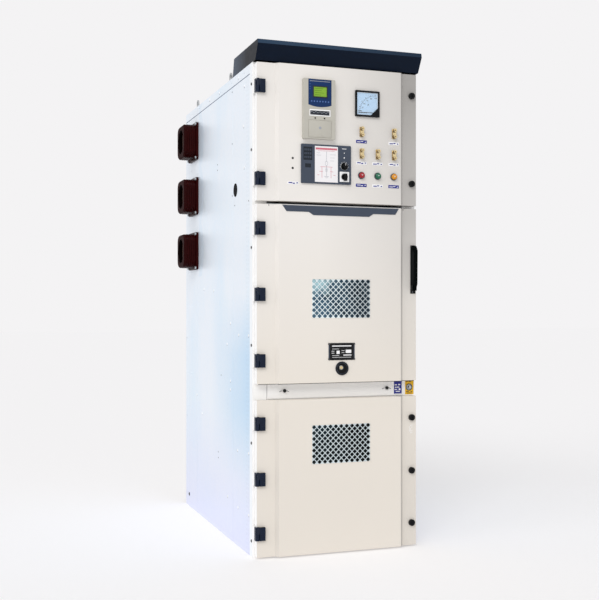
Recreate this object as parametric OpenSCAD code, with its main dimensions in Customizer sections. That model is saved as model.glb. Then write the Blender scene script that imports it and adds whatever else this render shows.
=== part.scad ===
// Withdrawable metal-clad switchgear cabinet: instrument box, breaker bay with truck,
// busbar compartment and cable compartment in one folded-sheet enclosure.
// Origin: centre of the body's footprint on the floor, doors towards -Y, hinges towards -X.

/* [Body] */
// Width over the side walls
body_w = 800; // [780:10:900]
// Depth from the front posts to the rear frame
body_d = 1410; // [1400:10:1600]
// Height of the side walls
body_h = 2240; // [2220:10:2400]
// Thickness of the folded sheet
sheet = 2; // [1.5:0.5:3]
// Height of the base channels
base_h = 50; // [40:5:60]
// Width of a front post
post_w = 65; // [62:1:70]
// Depth of a front post
post_d = 50; // [45:1:60]

/* [Doors] */
// Depth of a door's folded edge
door_t = 38; // [34:1:42]
// Gap between a door and the posts
door_gap = 2; // [1:0.5:4]
// How far the middle of a door stands proud of its edge strips
bulge = 16; // [8:1:22]
// Width of the bevel beside the raised middle
bevel_w = 15; // [10:1:20]
// Width of the flat strip on the hinge side
strip_l = 84; // [76:1:90]
// Width of the flat strip on the lock side
strip_r = 70; // [66:1:76]
// Height of the crossbar's lower edge
cross_z = 716; // [712:1:720]
// Height of the crossbar
cross_h = 70; // [66:1:74]
// Lower edge of the instrument door
instrument_z = 1611; // [1609:1:1620]
// Height of a hinge block
hinge_h = 60; // [50:1:70]

/* [Window grilles] */
// Width of a grille
grille_w = 285; // [240:5:320]
// Height of a grille
grille_h = 177; // [150:1:200]
// Distance between diamond holes
grille_pitch = 26.5; // [24:0.5:30]
// Width of a diamond hole, corner to corner
diamond = 22; // [16:0.5:23]

/* [Busbars and contacts] */
// Distance between phases
phase = 210; // [200:5:215]
// Height of the upper breaker contacts
upper_z = 1365; // [1362:1:1370]
// Height of the lower breaker contacts
lower_z = 1090; // [1086:1:1092]
// Height of the lowest main busbar
bus_z = 1443; // [1440:1:1450]
// Distance between main busbars
bus_pitch = 303; // [290:1:310]
// Distance of the busbars from the rear frame
bus_back = 216; // [200:1:230]
// Width of a main busbar
bar_w = 80; // [60:5:90]
// Thickness of a busbar
bar_t = 10; // [6:1:12]
// Outer radius of a wall bushing's barrel
bush_r = 92; // [88:1:95]
// How far a bushing stands out of the wall
bush_out = 78; // [70:1:90]
// Radius of a fixed contact
stem_r = 17.5; // [14:0.5:18]

/* [Truck] */
// Racking travel of the truck
travel = 200; // [180:5:200]
// Radius of a truck wheel
wheel_r = 25; // [22:1:26]
// Width of the truck's chassis
truck_w = 610; // [590:5:612]
// Height of the chassis above the floor sheet
chassis_h = 100; // [90:1:110]
// Radius of a breaker pole
pole_r = 62; // [55:1:65]

/* [Earthing switch] */
// Length of an earthing blade from the shaft's centre
blade_l = 190; // [180:1:200]
// Radius of the earthing shaft
earth_r = 15; // [12:1:16]

/* [Hidden] */
$fn = 48;
RUN = 0.05;
SEAT = 0.3;
half_w = body_w / 2;
half_d = body_d / 2;
in_w = half_w - sheet;
front_y = -half_d;
strip_y = front_y - door_gap - door_t;
panel_y = strip_y - bulge;
door_back = front_y - door_gap;
door_l = -half_w + 8;
door_r = half_w - 10;
panel_l = door_l + strip_l + bevel_w;
panel_r = door_r - strip_r - bevel_w;
header_h = 85;
cover_gap = 2.5;
cross_top = cross_z + cross_h;
instrument_top = body_h - 8;
floor_z = cross_top + sheet + SEAT;
bay_top = 1602;
box_back = -355;
part_y = 165;
duct_y = 590;
bus_y = half_d - bus_back;
shelf_z = 1238;
bus_levels = [bus_z + 2 * bus_pitch, bus_z + bus_pitch, bus_z];
phases = [-phase, 0, phase];
hinge_x = -half_w + 11;
hinge_y = strip_y - 7.5;
pin_r = 3;
knuckle_r = 7;
lock_x = half_w - 34.5;
instrument_hinges = [2125, 1709];
breaker_hinges = [1486, 1189, 891];
cable_hinges = [608, 359, 115];
instrument_locks = [2130, 1714];
cable_locks = [611, 361, 114];
hook_levels = [1520, 1170, 860];
handle_z = 1222;
handle_y = strip_y - 12;
handle_w = 13.4;
shutter_y = 140;
shutter_t = 3;
shutter_h = 144;
shutter_rod_x = 340;
tip_y = -18;
stem_y = 162;
box_mouth = 152;
box_end = 300;
axle_z = floor_z + 6.2 + wheel_r;
axle_r = 10;
axle_ys = [-520, -240];
deck_z = floor_z + chassis_h;
pole_y = -320;
drive_x = half_w - 28;
drive_z = 751;
drive_r = 8;
earth_y = 520;
fin_z = drive_z - 111;
ct_top = 985;
ct_bottom = 776;
join_levels = concat([for (i = [0:4]) 73 + 443 * i], [2143]);
lamp_x = [104.6, 186, 267.5];
link_places = [[105.6, 1943], [268.5, 1943], [105.6, 1842.5], [186, 1842.5], [268.5, 1842.5]];
stud_gap = 29;
meter_x = 133;
meter_z = 2074;
meter_w = 120;
vent_w = 600;
vents = [[-290, 235], [185, 235], [600, half_d - 621]];
grille_x = 7;

relay_x = -108;
relay_z = 2032;
relay_w = 154;
relay_h = 272;
mimic_x = -69.5;
mimic_z = 1784;
mimic_w = 241;
mimic_h = 178;
knob_x = 17.4;
knob_z = 1778;
switch_z = 1730;
port_x = 8.6;
port_z = 850.5;
port_r = 24;

CREAM = "#ebe8e2";
WHITE = "#f4f4f2";
ZINC = "#dfe6f2";
NAVY = "#16202e";
SLATE = "#4b5564";
EPOXY = "#4a140e";
COPPER = "#c07a4a";
BRASS = "#b08a4a";
STEEL = "#b8bcc2";
BLACK = "#17191c";

// A block given by its lowest and highest corners
module block(low, high) {
    translate(low) cube(high - low);
}

module rod_x(x0, x1, y, z, r) {
    translate([x0, y, z]) rotate([0, 90, 0]) cylinder(r = r, h = x1 - x0);
}

module rod_y(x, y0, y1, z, r) {
    translate([x, y0, z]) rotate([-90, 0, 0]) cylinder(r = r, h = y1 - y0);
}

module rod_z(x, y, z0, z1, r) {
    translate([x, y, z0]) cylinder(r = r, h = z1 - z0);
}

// A flat shape drawn in X and Z, given depth from y0 to y1
module slab_y(y0, y1) {
    translate([0, y1, 0]) rotate([90, 0, 0]) linear_extrude(height = y1 - y0) children();
}

// A flat shape drawn in Y and Z, given width from x0 to x1
module slab_x(x0, x1) {
    translate([x0, 0, 0]) rotate([90, 0, 90]) linear_extrude(height = x1 - x0) children();
}

// A rectangle with round corners, by its middle
module round_rect(w, h, r) {
    square([w - 2 * r, h], center = true);
    square([w, h - 2 * r], center = true);
    for (x = [-1, 1], y = [-1, 1])
        translate([x * (w / 2 - r), y * (h / 2 - r)]) circle(r = r);
}

module both_sides() {
    children();
    mirror([1, 0, 0]) children();
}

// Base and walls

module base_channel() {
    web = 4;
    flange = 40;
    block([-in_w, -half_d + sheet, 0], [-in_w + web, half_d - sheet, base_h]);
    for (z = [0, base_h - web])
        block([-in_w, -half_d + sheet, z], [-in_w + flange, half_d - sheet, z + web]);
}

module base_frame() {
    color(STEEL) difference() {
        union() {
            both_sides() base_channel();
            for (y = [front_y + sheet, -20, half_d - sheet - 40]) {
                block([-in_w + 2, y, 0], [in_w - 2, y + 4, base_h]);
                block([-in_w + 2, y, 0], [in_w - 2, y + 40, 4]);
                block([-in_w + 2, y, base_h - 4], [in_w - 2, y + 40, base_h]);
            }
        }
        for (x = [-1, 1], y = [-1, 1])
            rod_z(x * (half_w - 22), y * (half_d - 85), -1, 5, 7);
    }
}

// Bolt holes of a wall bushing, in the wall's own plane
module bushing_bolts(r, x0, x1) {
    for (z = bus_levels, a = [-1, 1], b = [-1, 1])
        rod_x(x0, x1, bus_y + a * bush_r, z + b * bush_r, r);
}

module side_wall(hole_r) {
    y0 = front_y + post_d + SEAT;
    difference() {
        union() {
            block([-half_w, y0, 0], [-in_w, half_d, body_h]);
            block([-in_w + SEAT, half_d - sheet, base_h + 4], [-half_w + 28, half_d, body_h]);
        }
        for (z = bus_levels) rod_x(-half_w - 1, -in_w + 1, bus_y, z, hole_r);
        bushing_bolts(5.5, -half_w - 1, -in_w + 1);
        rod_x(-half_w - 1, -in_w + 1, -402, 1692, 31.5);
        for (z = [100:300:body_h - 100]) rod_x(-half_w - 1, -in_w + 1, y0 + 15, z, 3);
        for (z = [70:443:body_h - 100]) rod_x(-half_w - 1, -in_w + 1, half_d - 22, z, 5);
        for (y = [-560:230:560]) rod_x(-half_w - 1, -in_w + 1, y, body_h - 22, 3);
        block([-half_w - 1, y0 + 1, body_h - 47], [-half_w + 0.8, half_d + 1, body_h - 44]);
        for (y = [-358, 407])
            block([-half_w - 1, y, -1], [-half_w + 0.8, y + 3, body_h - 47]);
    }
}

module left_side_wall() {
    color(ZINC) side_wall(bush_r - 10);
}

// The right wall is put together from five panels, one row for each busbar
module right_side_wall() {
    joint_y = 380;
    x = -in_w + SEAT / 2;
    color(ZINC) mirror([1, 0, 0]) difference() {
        side_wall(bush_r + 3);
        block([-half_w - 1, joint_y, -1], [x, joint_y + SEAT, body_h + 1]);
        for (z = bus_levels)
            block([-half_w - 1, joint_y, z - bus_pitch / 2],
                  [x, half_d + 1, z - bus_pitch / 2 + SEAT]);
    }
}

// Front frame

// Ends of the plates between the slots through which a cam or hook passes, from the top
plate_ends = concat(
    [body_h], [for (z = instrument_locks, d = [26, -26]) z + d],
    [for (z = hook_levels, d = [34, -7]) z + d], [for (z = cable_locks, d = [26, -26]) z + d], [0]
);

// The side of a post and its inner return, in the left post's place
module post_sides() {
    difference() {
        block([-half_w, front_y, 0], [-in_w, front_y + post_d, body_h]);
        for (z = join_levels) rod_x(-half_w - 1, -in_w + 1, front_y + 20, z, 5);
    }
    block([-half_w + post_w - sheet, front_y + sheet + SEAT, base_h],
          [-half_w + post_w, front_y + post_d, body_h - sheet]);
}

module left_post() {
    post_sides();
    block([-in_w + SEAT, front_y, 0], [-half_w + post_w, front_y + sheet, body_h]);
}

module right_post() {
    slot = 11;
    mirror([1, 0, 0]) post_sides();
    difference() {
        union() {
            block([lock_x + slot, front_y, 0], [in_w - SEAT, front_y + sheet, body_h]);
            block([half_w - post_w, front_y, 0], [lock_x - slot, front_y + sheet, body_h]);
            for (i = [0:2:len(plate_ends) - 1])
                block([lock_x - slot + SEAT, front_y, plate_ends[i + 1]],
                      [lock_x + slot - SEAT, front_y + sheet, plate_ends[i]]);
        }
        rod_y(drive_x, front_y - 1, front_y + sheet + 1, drive_z, 14);
    }
}

module front_rail(z0, z1) {
    w = half_w - post_w - SEAT;
    block([-w, front_y, z0], [w, front_y + sheet, z1 - sheet - SEAT]);
    block([-w, front_y, z1 - sheet], [w, front_y + 30, z1]);
}

module front_frame() {
    color(WHITE) {
        left_post();
        right_post();
        front_rail(body_h - 36, body_h - sheet);
        front_rail(bay_top - 14, bay_top);
        front_rail(base_h, base_h + 16);
        crossbar_cover();
    }
}

module crossbar_cover() {
    x0 = -half_w + post_w + cover_gap;
    x1 = half_w - post_w - SEAT;
    y = front_y - 4;
    difference() {
        union() {
            block([x0, y, cross_z], [x1, y + sheet, cross_top]);
            for (z = [cross_z, cross_top - sheet])
                block([x0, y, z], [x1, front_y + 26, z + sheet]);
            for (x = [x0, x1 - sheet])
                block([x, y, cross_z], [x + sheet, front_y + 26, cross_top]);
        }
        for (x = [-253, 253]) rod_y(x, y - 1, y + sheet + 1, drive_z, 4);
    }
}

// Inner walls

module instrument_box() {
    color(ZINC) {
        difference() {
            union() {
                block([-in_w, front_y + post_d, bay_top],
                      [in_w, box_back + sheet, bay_top + sheet]);
                block([-half_w + post_w, front_y + sheet, bay_top],
                      [half_w - post_w, front_y + post_d, bay_top + sheet]);
                block([-in_w, box_back, bay_top], [in_w, box_back + sheet, body_h - sheet]);
            }
            for (x = [-1, 1])
                rod_z(x * (in_w - 58), box_back - 60, bay_top - 1, bay_top + sheet + 1, 20);
        }
        for (z = [1750, 1950]) terminal_row(z);
    }
}

// A mounting rail with clipped-on terminal blocks
module terminal_row(z) {
    y = box_back;
    block([-300, y - 8, z - 17], [300, y, z + 17]);
    for (i = [0:23])
        block([-290 + 24 * i, y - 50, z - 28], [-290 + 24 * i + 22, y - 8, z + 28]);
}

module shutter_rail() {
    y = shutter_y + shutter_t / 2;
    rod_z(shutter_rod_x, y, 846, 1606, 6);
    for (z = [846, 1222, 1600])
        block([shutter_rod_x - 9, y - 9, z], [shutter_rod_x + 9, part_y - SEAT, z + 10]);
}

module truck_rail() {
    x = truck_w / 2 + 1;
    block([x, -640, floor_z + SEAT], [x + 35 - SEAT, 120, floor_z + 6]);
    block([x + 35, -640, floor_z + SEAT], [x + 38, 120, floor_z + 18]);
}

module contact_wall() {
    difference() {
        block([-in_w, part_y, floor_z - sheet], [in_w, part_y + sheet, body_h - sheet]);
        for (x = phases, z = [upper_z, lower_z])
            rod_y(x, part_y - 1, part_y + sheet + 1, z, 75);
        rod_y(drive_x, part_y - 1, part_y + sheet + 1, drive_z, drive_r + 2);
    }
}

module inner_partitions() {
    z = floor_z - sheet;
    y = front_y + post_d;
    color(ZINC) {
        block([-in_w, y + SEAT, z], [in_w, part_y - SEAT, floor_z]);
        block([-half_w + post_w, front_y + sheet, z], [half_w - post_w, y, floor_z]);
        contact_wall();
        block([-in_w, part_y + sheet + SEAT, shelf_z], [in_w, duct_y - SEAT, shelf_z + sheet]);
        block([-in_w, duct_y, shelf_z], [in_w, duct_y + sheet, body_h - sheet]);
        both_sides() shutter_rail();
        both_sides() truck_rail();
    }
}

module roof_vent(vent) {
    y0 = vent[0];
    y1 = y0 + vent[1];
    h = 10;
    difference() {
        block([-vent_w / 2, y0, body_h - sheet], [vent_w / 2, y1, body_h + h]);
        block([-vent_w / 2 + sheet, y0 + sheet, body_h - sheet - 1],
              [vent_w / 2 - sheet, y1 - sheet, body_h + h + 1]);
    }
    for (x = [-1, 1], s = [-1, 1]) difference() {
        block([x * 200 + s * 25 - 4, y1 + 5, body_h], [x * 200 + s * 25 + 4, y1 + 17, body_h + 11]);
        rod_x(x * 200 + s * 25 - 5, x * 200 + s * 25 + 5, y1 + 11, body_h + 6, pin_r);
    }
    for (x = [-1, 1]) rod_x(x * 200 - 29, x * 200 + 29, y1 + 11, body_h + 6, pin_r);
}

module roof_plate() {
    color(ZINC) {
        difference() {
            block([-in_w, front_y + sheet, body_h - sheet], [in_w, half_d - sheet, body_h]);
            for (v = vents)
                block([-vent_w / 2 + 1, v[0] + 1, body_h - sheet - 1],
                      [vent_w / 2 - 1, v[0] + v[1] - 1, body_h + 1]);
        }
        for (v = vents) roof_vent(v);
    }
}

// A light lid over a roof vent, hinged along its rear edge
module relief_flap(vent) {
    y0 = vent[0];
    y1 = y0 + vent[1];
    z = body_h + 10 + SEAT;
    color(ZINC) {
        difference() {
            block([-vent_w / 2 - 4, y0 - 4, body_h + 4], [vent_w / 2 + 4, y1 + 4, z + sheet]);
            block([-vent_w / 2 - 1.5, y0 - 1.5, body_h + 3], [vent_w / 2 + 1.5, y1 + 1.5, z]);
            for (x = [-1, 1])
                block([x * 200 - 34, y1 - 5, body_h + 3], [x * 200 + 34, y1 + 5, z]);
        }
        for (x = [-1, 1]) difference() {
            union() {
                rod_x(x * 200 - 20, x * 200 + 20, y1 + 11, body_h + 6, 5.5);
                block([x * 200 - 20, y1 + 1.5, z], [x * 200 + 20, y1 + 11, z + sheet]);
                block([x * 200 - 20, y1 + 8, body_h + 6], [x * 200 + 20, y1 + 11, z + sheet]);
            }
            rod_x(x * 200 - 21, x * 200 + 21, y1 + 11, body_h + 6, pin_r + RUN);
        }
    }
}

module relief_flap_front() { relief_flap(vents[0]); }
module relief_flap_middle() { relief_flap(vents[1]); }
module relief_flap_rear() { relief_flap(vents[2]); }

module header_shape(t) {
    z0 = body_h;
    polygon([
        [strip_y - 2 + t, z0 - (t > 0 ? 1 : 0)],
        [strip_y - 44 + t, z0 + header_h - 19],
        [strip_y - 40 + t, z0 + header_h - t],
        [-375 - t, z0 + header_h - t],
        [-350 - t, z0 - (t > 0 ? 1 : 0)]
    ]);
}

module header() {
    color(NAVY) difference() {
        slab_x(-half_w, half_w) header_shape(0);
        slab_x(-in_w, in_w) header_shape(sheet);
    }
}

module lifting_lugs() {
    color(STEEL) both_sides() for (y = [-288, 430]) difference() {
        union() {
            block([-half_w + 4, y - 20, body_h], [-half_w + 34, y + 20, body_h + 4]);
            block([-half_w + 4, y - 20, body_h], [-half_w + 10, y + 20, body_h + 18]);
            rod_x(-half_w + 4, -half_w + 10, y, body_h + 18, 20);
        }
        rod_x(-half_w + 3, -half_w + 11, y, body_h + 20, 10);
        rod_z(-half_w + 24, y, body_h - 1, body_h + 5, 5.5);
        block([-half_w + 3, y - 25, body_h - 30], [-half_w + 40, y + 25, body_h]);
    }
}

module rear_cover(z0, z1) {
    y = half_d;
    difference() {
        union() {
            block([-half_w + 3, y, z0], [half_w - 3, y + sheet, z1]);
            block([-half_w + 50, y, z0 + 45], [half_w - 50, y + 28, z1 - 45]);
        }
        block([-half_w + 52, y - 1, z0 + 47], [half_w - 52, y + 26, z1 - 47]);
        for (x = [-1, 1], z = cover_rows(z0, z1))
            rod_y(x * (half_w - 26), y - 1, y + sheet + 1, z, 4.5);
    }
}

function cover_rows(z0, z1) = [for (i = [0:4]) z0 + 30 + i * (z1 - z0 - 60) / 4];

module rear_covers() {
    color(CREAM) {
        rear_cover(base_h + 6, shelf_z - 2);
        rear_cover(shelf_z + 2, body_h - 3);
    }
}

module gland_plate() {
    color(ZINC) difference() {
        union() {
            block([-in_w, front_y + post_d, base_h], [in_w, half_d - sheet, base_h + 3]);
            for (x = phases) rod_z(x, earth_y + 60, base_h - 12, base_h + 28, 62);
        }
        for (x = phases) rod_z(x, earth_y + 60, base_h - 13, base_h + 29, 50);
    }
}

module earth_bar() {
    color(COPPER) difference() {
        block([-in_w, 430, 130], [in_w, 436, 170]);
        for (x = [-300:100:300]) rod_y(x, 429, 437, 150, 6.5);
    }
}

// Insulators and live parts

// A length of a bushing's square barrel, from x0 outwards to x1, smaller all round by an inset
module barrel(x0, x1, inset, corner, taper = 1) {
    w = 2 * (bush_r - inset);
    translate([-x0, 0, 0]) rotate([90, 0, -90])
        linear_extrude(height = x1 - x0, scale = taper) round_rect(w, w, corner);
}

module bushing() {
    bore_r = bush_r - 26;
    rib_w = 7;
    ribs_end = bush_out - 14;
    rib_pitch = (ribs_end - 16) / 4;
    difference() {
        union() {
            rod_x(-2, 60, 0, 0, bush_r - 12);
            barrel(0, 12, -11, 18);
            barrel(11, bush_out - 7, 4, 36);
            for (i = [0:3])
                barrel(16 + i * rib_pitch, 16 + i * rib_pitch + rib_w, 0, 40);
            barrel(ribs_end, bush_out - 7, 1, 39);
            barrel(bush_out - 7, bush_out, 1, 39, 1 - 7 / bush_r);
        }
        rod_x(-bush_out - 1, -8, 0, 0, bore_r);
        rod_x(2, 61, 0, 0, bore_r);
        block([-bush_out - 1, -bar_t / 2 - SEAT, -bar_w / 2 - SEAT],
              [61, bar_t / 2 + SEAT, bar_w / 2 + SEAT]);
        for (a = [-1, 1], b = [-1, 1])
            rod_x(-13, 1, a * bush_r, b * bush_r, 5.5);
    }
}

module busbar_bushings() {
    color(EPOXY) for (z = bus_levels) translate([-half_w, bus_y, z]) bushing();
}

module main_busbars() {
    color(COPPER) for (z = bus_levels) difference() {
        block([-half_w - bush_out + 12, bus_y - bar_t / 2, z - bar_w / 2],
              [half_w - 15, bus_y + bar_t / 2, z + bar_w / 2]);
        for (x = [-half_w - bush_out + 32, half_w - 40], s = [-1, 1])
            rod_y(x, bus_y - bar_t, bus_y + bar_t, z + s * bar_w / 4, 6.5);
    }
}

module contact_box() {
    difference() {
        union() {
            rod_y(0, box_mouth, box_end, 0, 74);
            rod_y(0, part_y + sheet, part_y + sheet + 10, 0, 96);
            for (y = [200, 225, 250, 275]) rod_y(0, y, y + 6, 0, 82);
        }
        rod_y(0, box_mouth - 1, box_end - 12, 0, 66);
        rod_y(0, box_end - 13, box_end + 1, 0, stem_r);
    }
}

module contact_boxes() {
    color(EPOXY) for (x = phases, z = [upper_z, lower_z]) translate([x, 0, z]) contact_box();
}

// Copper from an upper contact up and back to its main busbar
module branch_bar(z_bus) {
    t = bar_t / 2;
    riser = 360;
    slab_x(-30, 30) {
        translate([box_end, upper_z - t]) square([riser - box_end, bar_t]);
        translate([riser - bar_t, upper_z - t]) square([bar_t, z_bus - upper_z + bar_t]);
        translate([riser - bar_t, z_bus - t])
            square([bus_y - 1.5 * bar_t - riser + bar_t + bar_t / 2, bar_t]);
        translate([bus_y - 1.5 * bar_t, z_bus - bar_w / 2 + 5]) square([bar_t, bar_w - 10]);
    }
}

// Copper from a lower contact down through the transformer to the cable
module drop_bar() {
    y = 330;
    t = bar_t / 2;
    block([-30, box_end, lower_z - t], [30, y + bar_t, lower_z + t]);
    block([-30, y, ct_top], [30, y + bar_t, lower_z + t]);
    difference() {
        union() {
            block([-30, y, 440], [30, y + bar_t, ct_bottom]);
            block([-3, y, fin_z - 30], [3, y + 55, fin_z + 30]);
        }
        for (z = [465, 505]) rod_y(0, y - 1, y + bar_t + 1, z, 6.5);
    }
}

module fixed_contacts() {
    color(COPPER) for (i = [0:2]) translate([phases[i], 0, 0]) {
        rod_y(0, stem_y, box_end + 12, upper_z, stem_r);
        rod_y(0, stem_y, box_end + 12, lower_z, stem_r);
        branch_bar(bus_levels[i]);
        drop_bar();
    }
}

module current_transformers() {
    y0 = part_y + sheet;
    color(EPOXY) for (x = phases) translate([x, 0, 0]) {
        translate([0, y0 + 110, ct_bottom]) linear_extrude(height = ct_top - ct_bottom)
            round_rect(150, 220, 20);
        for (z = [ct_bottom + 40, ct_top - 60])
            translate([0, y0 + 110, z]) linear_extrude(height = 20) round_rect(166, 218, 24);
    }
}

module earthing_switch_frame() {
    b = earth_r + 12;
    cheek = half_w - 50;
    color(STEEL) {
        difference() {
            union() {
                block([-cheek, earth_y - b, drive_z - b], [-cheek + 5, earth_y + b, drive_z + b]);
                block([-in_w, earth_y - b, drive_z - b],
                      [-cheek + 5, earth_y + b, drive_z - b + 5]);
            }
            rod_x(-cheek - 1, -cheek + 6, earth_y, drive_z, earth_r + RUN);
        }
        difference() {
            block([cheek - 5, earth_y - 35, drive_z - 35], [in_w, earth_y + 35, drive_z + 35]);
            rod_x(cheek - 6, cheek + 12, earth_y, drive_z, earth_r + RUN);
            rod_y(drive_x, earth_y - 36, earth_y - 18, drive_z, drive_r + RUN);
        }
        difference() {
            block([drive_x - 16, front_y + sheet, drive_z - 16],
                  [drive_x + 16, front_y + 14, drive_z + 16]);
            rod_y(drive_x, front_y, front_y + 15, drive_z, drive_r + RUN);
        }
        difference() {
            block([drive_x - 16, part_y - 12, drive_z - 16],
                  [drive_x + 16, part_y, drive_z + 16]);
            rod_y(drive_x, part_y - 13, part_y + 1, drive_z, drive_r + RUN);
        }
    }
}

module earthing_drive_shaft() {
    color(STEEL) {
        rod_y(drive_x, front_y + 2, earth_y - 19, drive_z, drive_r);
        translate([drive_x, front_y - 14, drive_z]) rotate([-90, 0, 0])
            cylinder(r = 7, h = 20, $fn = 6);
    }
}

// One pair of earthing blades, lying open
module blade_pair() {
    for (s = [-1, 1]) slab_x(s * 6 - 2.5, s * 6 + 2.5) rotate(-60) {
        translate([0, -15]) square([blade_l - 15, 30]);
        translate([blade_l - 15, 0]) circle(r = 15);
    }
}

module earthing_blades() {
    color(COPPER) {
        rod_x(-half_w + 44, half_w - 40, earth_y, drive_z, earth_r);
        for (x = phases) translate([x, earth_y, drive_z]) {
            blade_pair();
            rod_x(-20, 20, 0, 0, earth_r + 8);
        }
    }
}

// Hinges and bolts

module hinge_bracket(z) {
    block([-half_w, hinge_y, z - hinge_h / 2], [-half_w + 4, front_y, z + hinge_h / 2]);
    block([-half_w, hinge_y - 4.5, z - hinge_h / 2], [hinge_x, hinge_y + 6.5, z - SEAT]);
    rod_z(hinge_x, hinge_y, z - hinge_h / 2, z - SEAT, knuckle_r);
    rod_z(hinge_x, hinge_y, z - hinge_h / 2, z + hinge_h / 2, pin_r);
}

module hinge_brackets() {
    color(NAVY) for (z = concat(instrument_hinges, breaker_hinges, cable_hinges))
        hinge_bracket(z);
}

// The half of a hinge that is screwed to the door
module hinge_leaf(z) {
    difference() {
        union() {
            block([hinge_x + 8, hinge_y - 5.5, z - hinge_h / 2],
                  [hinge_x + 33, strip_y, z + hinge_h / 2]);
            block([hinge_x, hinge_y - 5.5, z], [hinge_x + 9, hinge_y + 6, z + hinge_h / 2]);
            rod_z(hinge_x, hinge_y, z, z + hinge_h / 2, knuckle_r - 0.5);
        }
        rod_z(hinge_x, hinge_y, z - 1, z + hinge_h / 2 + 1, pin_r + RUN);
    }
}

module hex_bolt_y(x, y, z, r, h) {
    translate([x, y, z]) rotate([-90, 0, 0]) cylinder(r = r, h = h, $fn = 6);
}

module cover_bolts() {
    color(STEEL) {
        for (x = [-1, 1], z = concat(cover_rows(base_h + 6, shelf_z - 2),
                                     cover_rows(shelf_z + 2, body_h - 3)))
            hex_bolt_y(x * (half_w - 26), half_d + sheet, z, 8, 6);
        for (z = bus_levels, a = [-1, 1], b = [-1, 1])
            translate([-half_w - 12, bus_y + a * bush_r, z + b * bush_r]) rotate([0, -90, 0])
                cylinder(r = 8, h = 7, $fn = 6);
        for (x = [-253, 253]) difference() {
            rod_y(x, front_y - 8, front_y - 4, drive_z, 7);
            block([x - 8, front_y - 9, drive_z - 1], [x + 8, front_y - 6.5, drive_z + 1]);
        }
        both_sides() for (y = [-288, 430])
            translate([-half_w + 24, y, body_h + 4]) cylinder(r = 8, h = 6, $fn = 6);
    }
}

// Doors

// Plan of a door's folded face, offset inwards by t
module door_plan(t) {
    polygon([
        [door_l + t, door_back + (t > 0 ? 1 : 0)],
        [door_l + t, strip_y + t],
        [door_l + strip_l + t / 2, strip_y + t],
        [panel_l + t / 2, panel_y + t],
        [panel_r - t / 2, panel_y + t],
        [door_r - strip_r - t / 2, strip_y + t],
        [door_r - t, strip_y + t],
        [door_r - t, door_back + (t > 0 ? 1 : 0)]
    ]);
}

module door_shell(z0, z1, hinges) {
    difference() {
        union() {
            translate([0, 0, z0]) linear_extrude(height = z1 - z0) door_plan(0);
            for (z = hinges) hinge_leaf(z);
        }
        translate([0, 0, z0 + sheet]) linear_extrude(height = z1 - z0 - 2 * sheet)
            door_plan(sheet);
    }
}

module grille(z) {
    cols = floor(grille_w / grille_pitch);
    rows = floor(grille_h / grille_pitch);
    translate([grille_x, 0, z]) slab_y(panel_y + sheet, panel_y + sheet + 1.5) difference() {
        square([grille_w + 24, grille_h + 24], center = true);
        for (i = [0:cols], j = [0:rows]) diamond_hole(i - cols / 2, j - rows / 2);
        for (i = [0:cols - 1], j = [0:rows - 1])
            diamond_hole(i + 0.5 - cols / 2, j + 0.5 - rows / 2);
    }
}

module diamond_hole(i, j) {
    translate([i * grille_pitch, j * grille_pitch]) rotate(45)
        square(diamond / sqrt(2), center = true);
}

module grille_opening(z) {
    translate([grille_x, 0, z]) slab_y(panel_y - 1, panel_y + sheet + 1)
        square([grille_w + 2, grille_h + 2], center = true);
}

module instrument_door() {
    color(CREAM) difference() {
        door_shell(instrument_z, instrument_top, instrument_hinges);
        block([relay_x - relay_w / 2 + 8, panel_y - 1, relay_z - relay_h / 2 + 8],
              [relay_x + relay_w / 2 - 8, panel_y + 3, relay_z + relay_h / 2 - 8]);
        block([mimic_x - mimic_w / 2 + 5, panel_y - 1, mimic_z - mimic_h / 2 + 5],
              [mimic_x + mimic_w / 2 - 5, panel_y + 3, mimic_z + mimic_h / 2 - 5]);
        rod_y(meter_x, panel_y - 1, panel_y + 3, meter_z, 51);
        for (x = lamp_x) rod_y(x, panel_y - 1, panel_y + 3, 1741.5, 11.5);
        for (z = [1806, 1761]) rod_y(-228.6, panel_y - 1, panel_y + 3, z, 5);
        for (z = instrument_locks) rod_y(lock_x, strip_y - 1, strip_y + 3, z, 8 + RUN);
    }
}

module relay_case() {
    y = panel_y;
    color("#c8c6bc") {
        translate([relay_x, 0, relay_z]) difference() {
            slab_y(y - 22, y) round_rect(relay_w, relay_h, 5);
            translate([2.5, 0, 0]) slab_y(y - 23, y - 21) {
                translate([-56, 24]) square([112, relay_h / 2 - 26]);
                intersection() {
                    translate([0, 222 - 62 + 18]) circle(r = 170);
                    translate([-56, 0]) square([112, 30]);
                }
            }
            translate([2.5, 0, 0]) slab_y(y - 22.6, y - 21) {
                difference() {
                    translate([0, -91]) square([112, 80], center = true);
                    translate([0, -91]) square([109, 77], center = true);
                }
            }
        }
        block([relay_x - relay_w / 2 + 9, y, relay_z - relay_h / 2 + 9],
              [relay_x + relay_w / 2 - 9, y + 100, relay_z + relay_h / 2 - 9]);
    }
}

module ammeter_case() {
    h = meter_w / 2;
    y = panel_y;
    color(BLACK) translate([meter_x, 0, meter_z]) {
        difference() {
            slab_y(y - 10, y) round_rect(meter_w, meter_w, 3);
            slab_y(y - 11, y - 5) polygon([
                [-h + 8, -h + 8], [h - 42, -h + 8], [h - 8, -h + 42], [h - 8, h - 8],
                [-h + 8, h - 8]
            ]);
            slab_y(y - 7.5, y - 5) square(meter_w - 16, center = true);
        }
        rod_y(h - 20, y - 7.4, y - 4, -h + 20, 1);
        rod_y(0, y, y + 60, 0, 50);
    }
}

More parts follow.
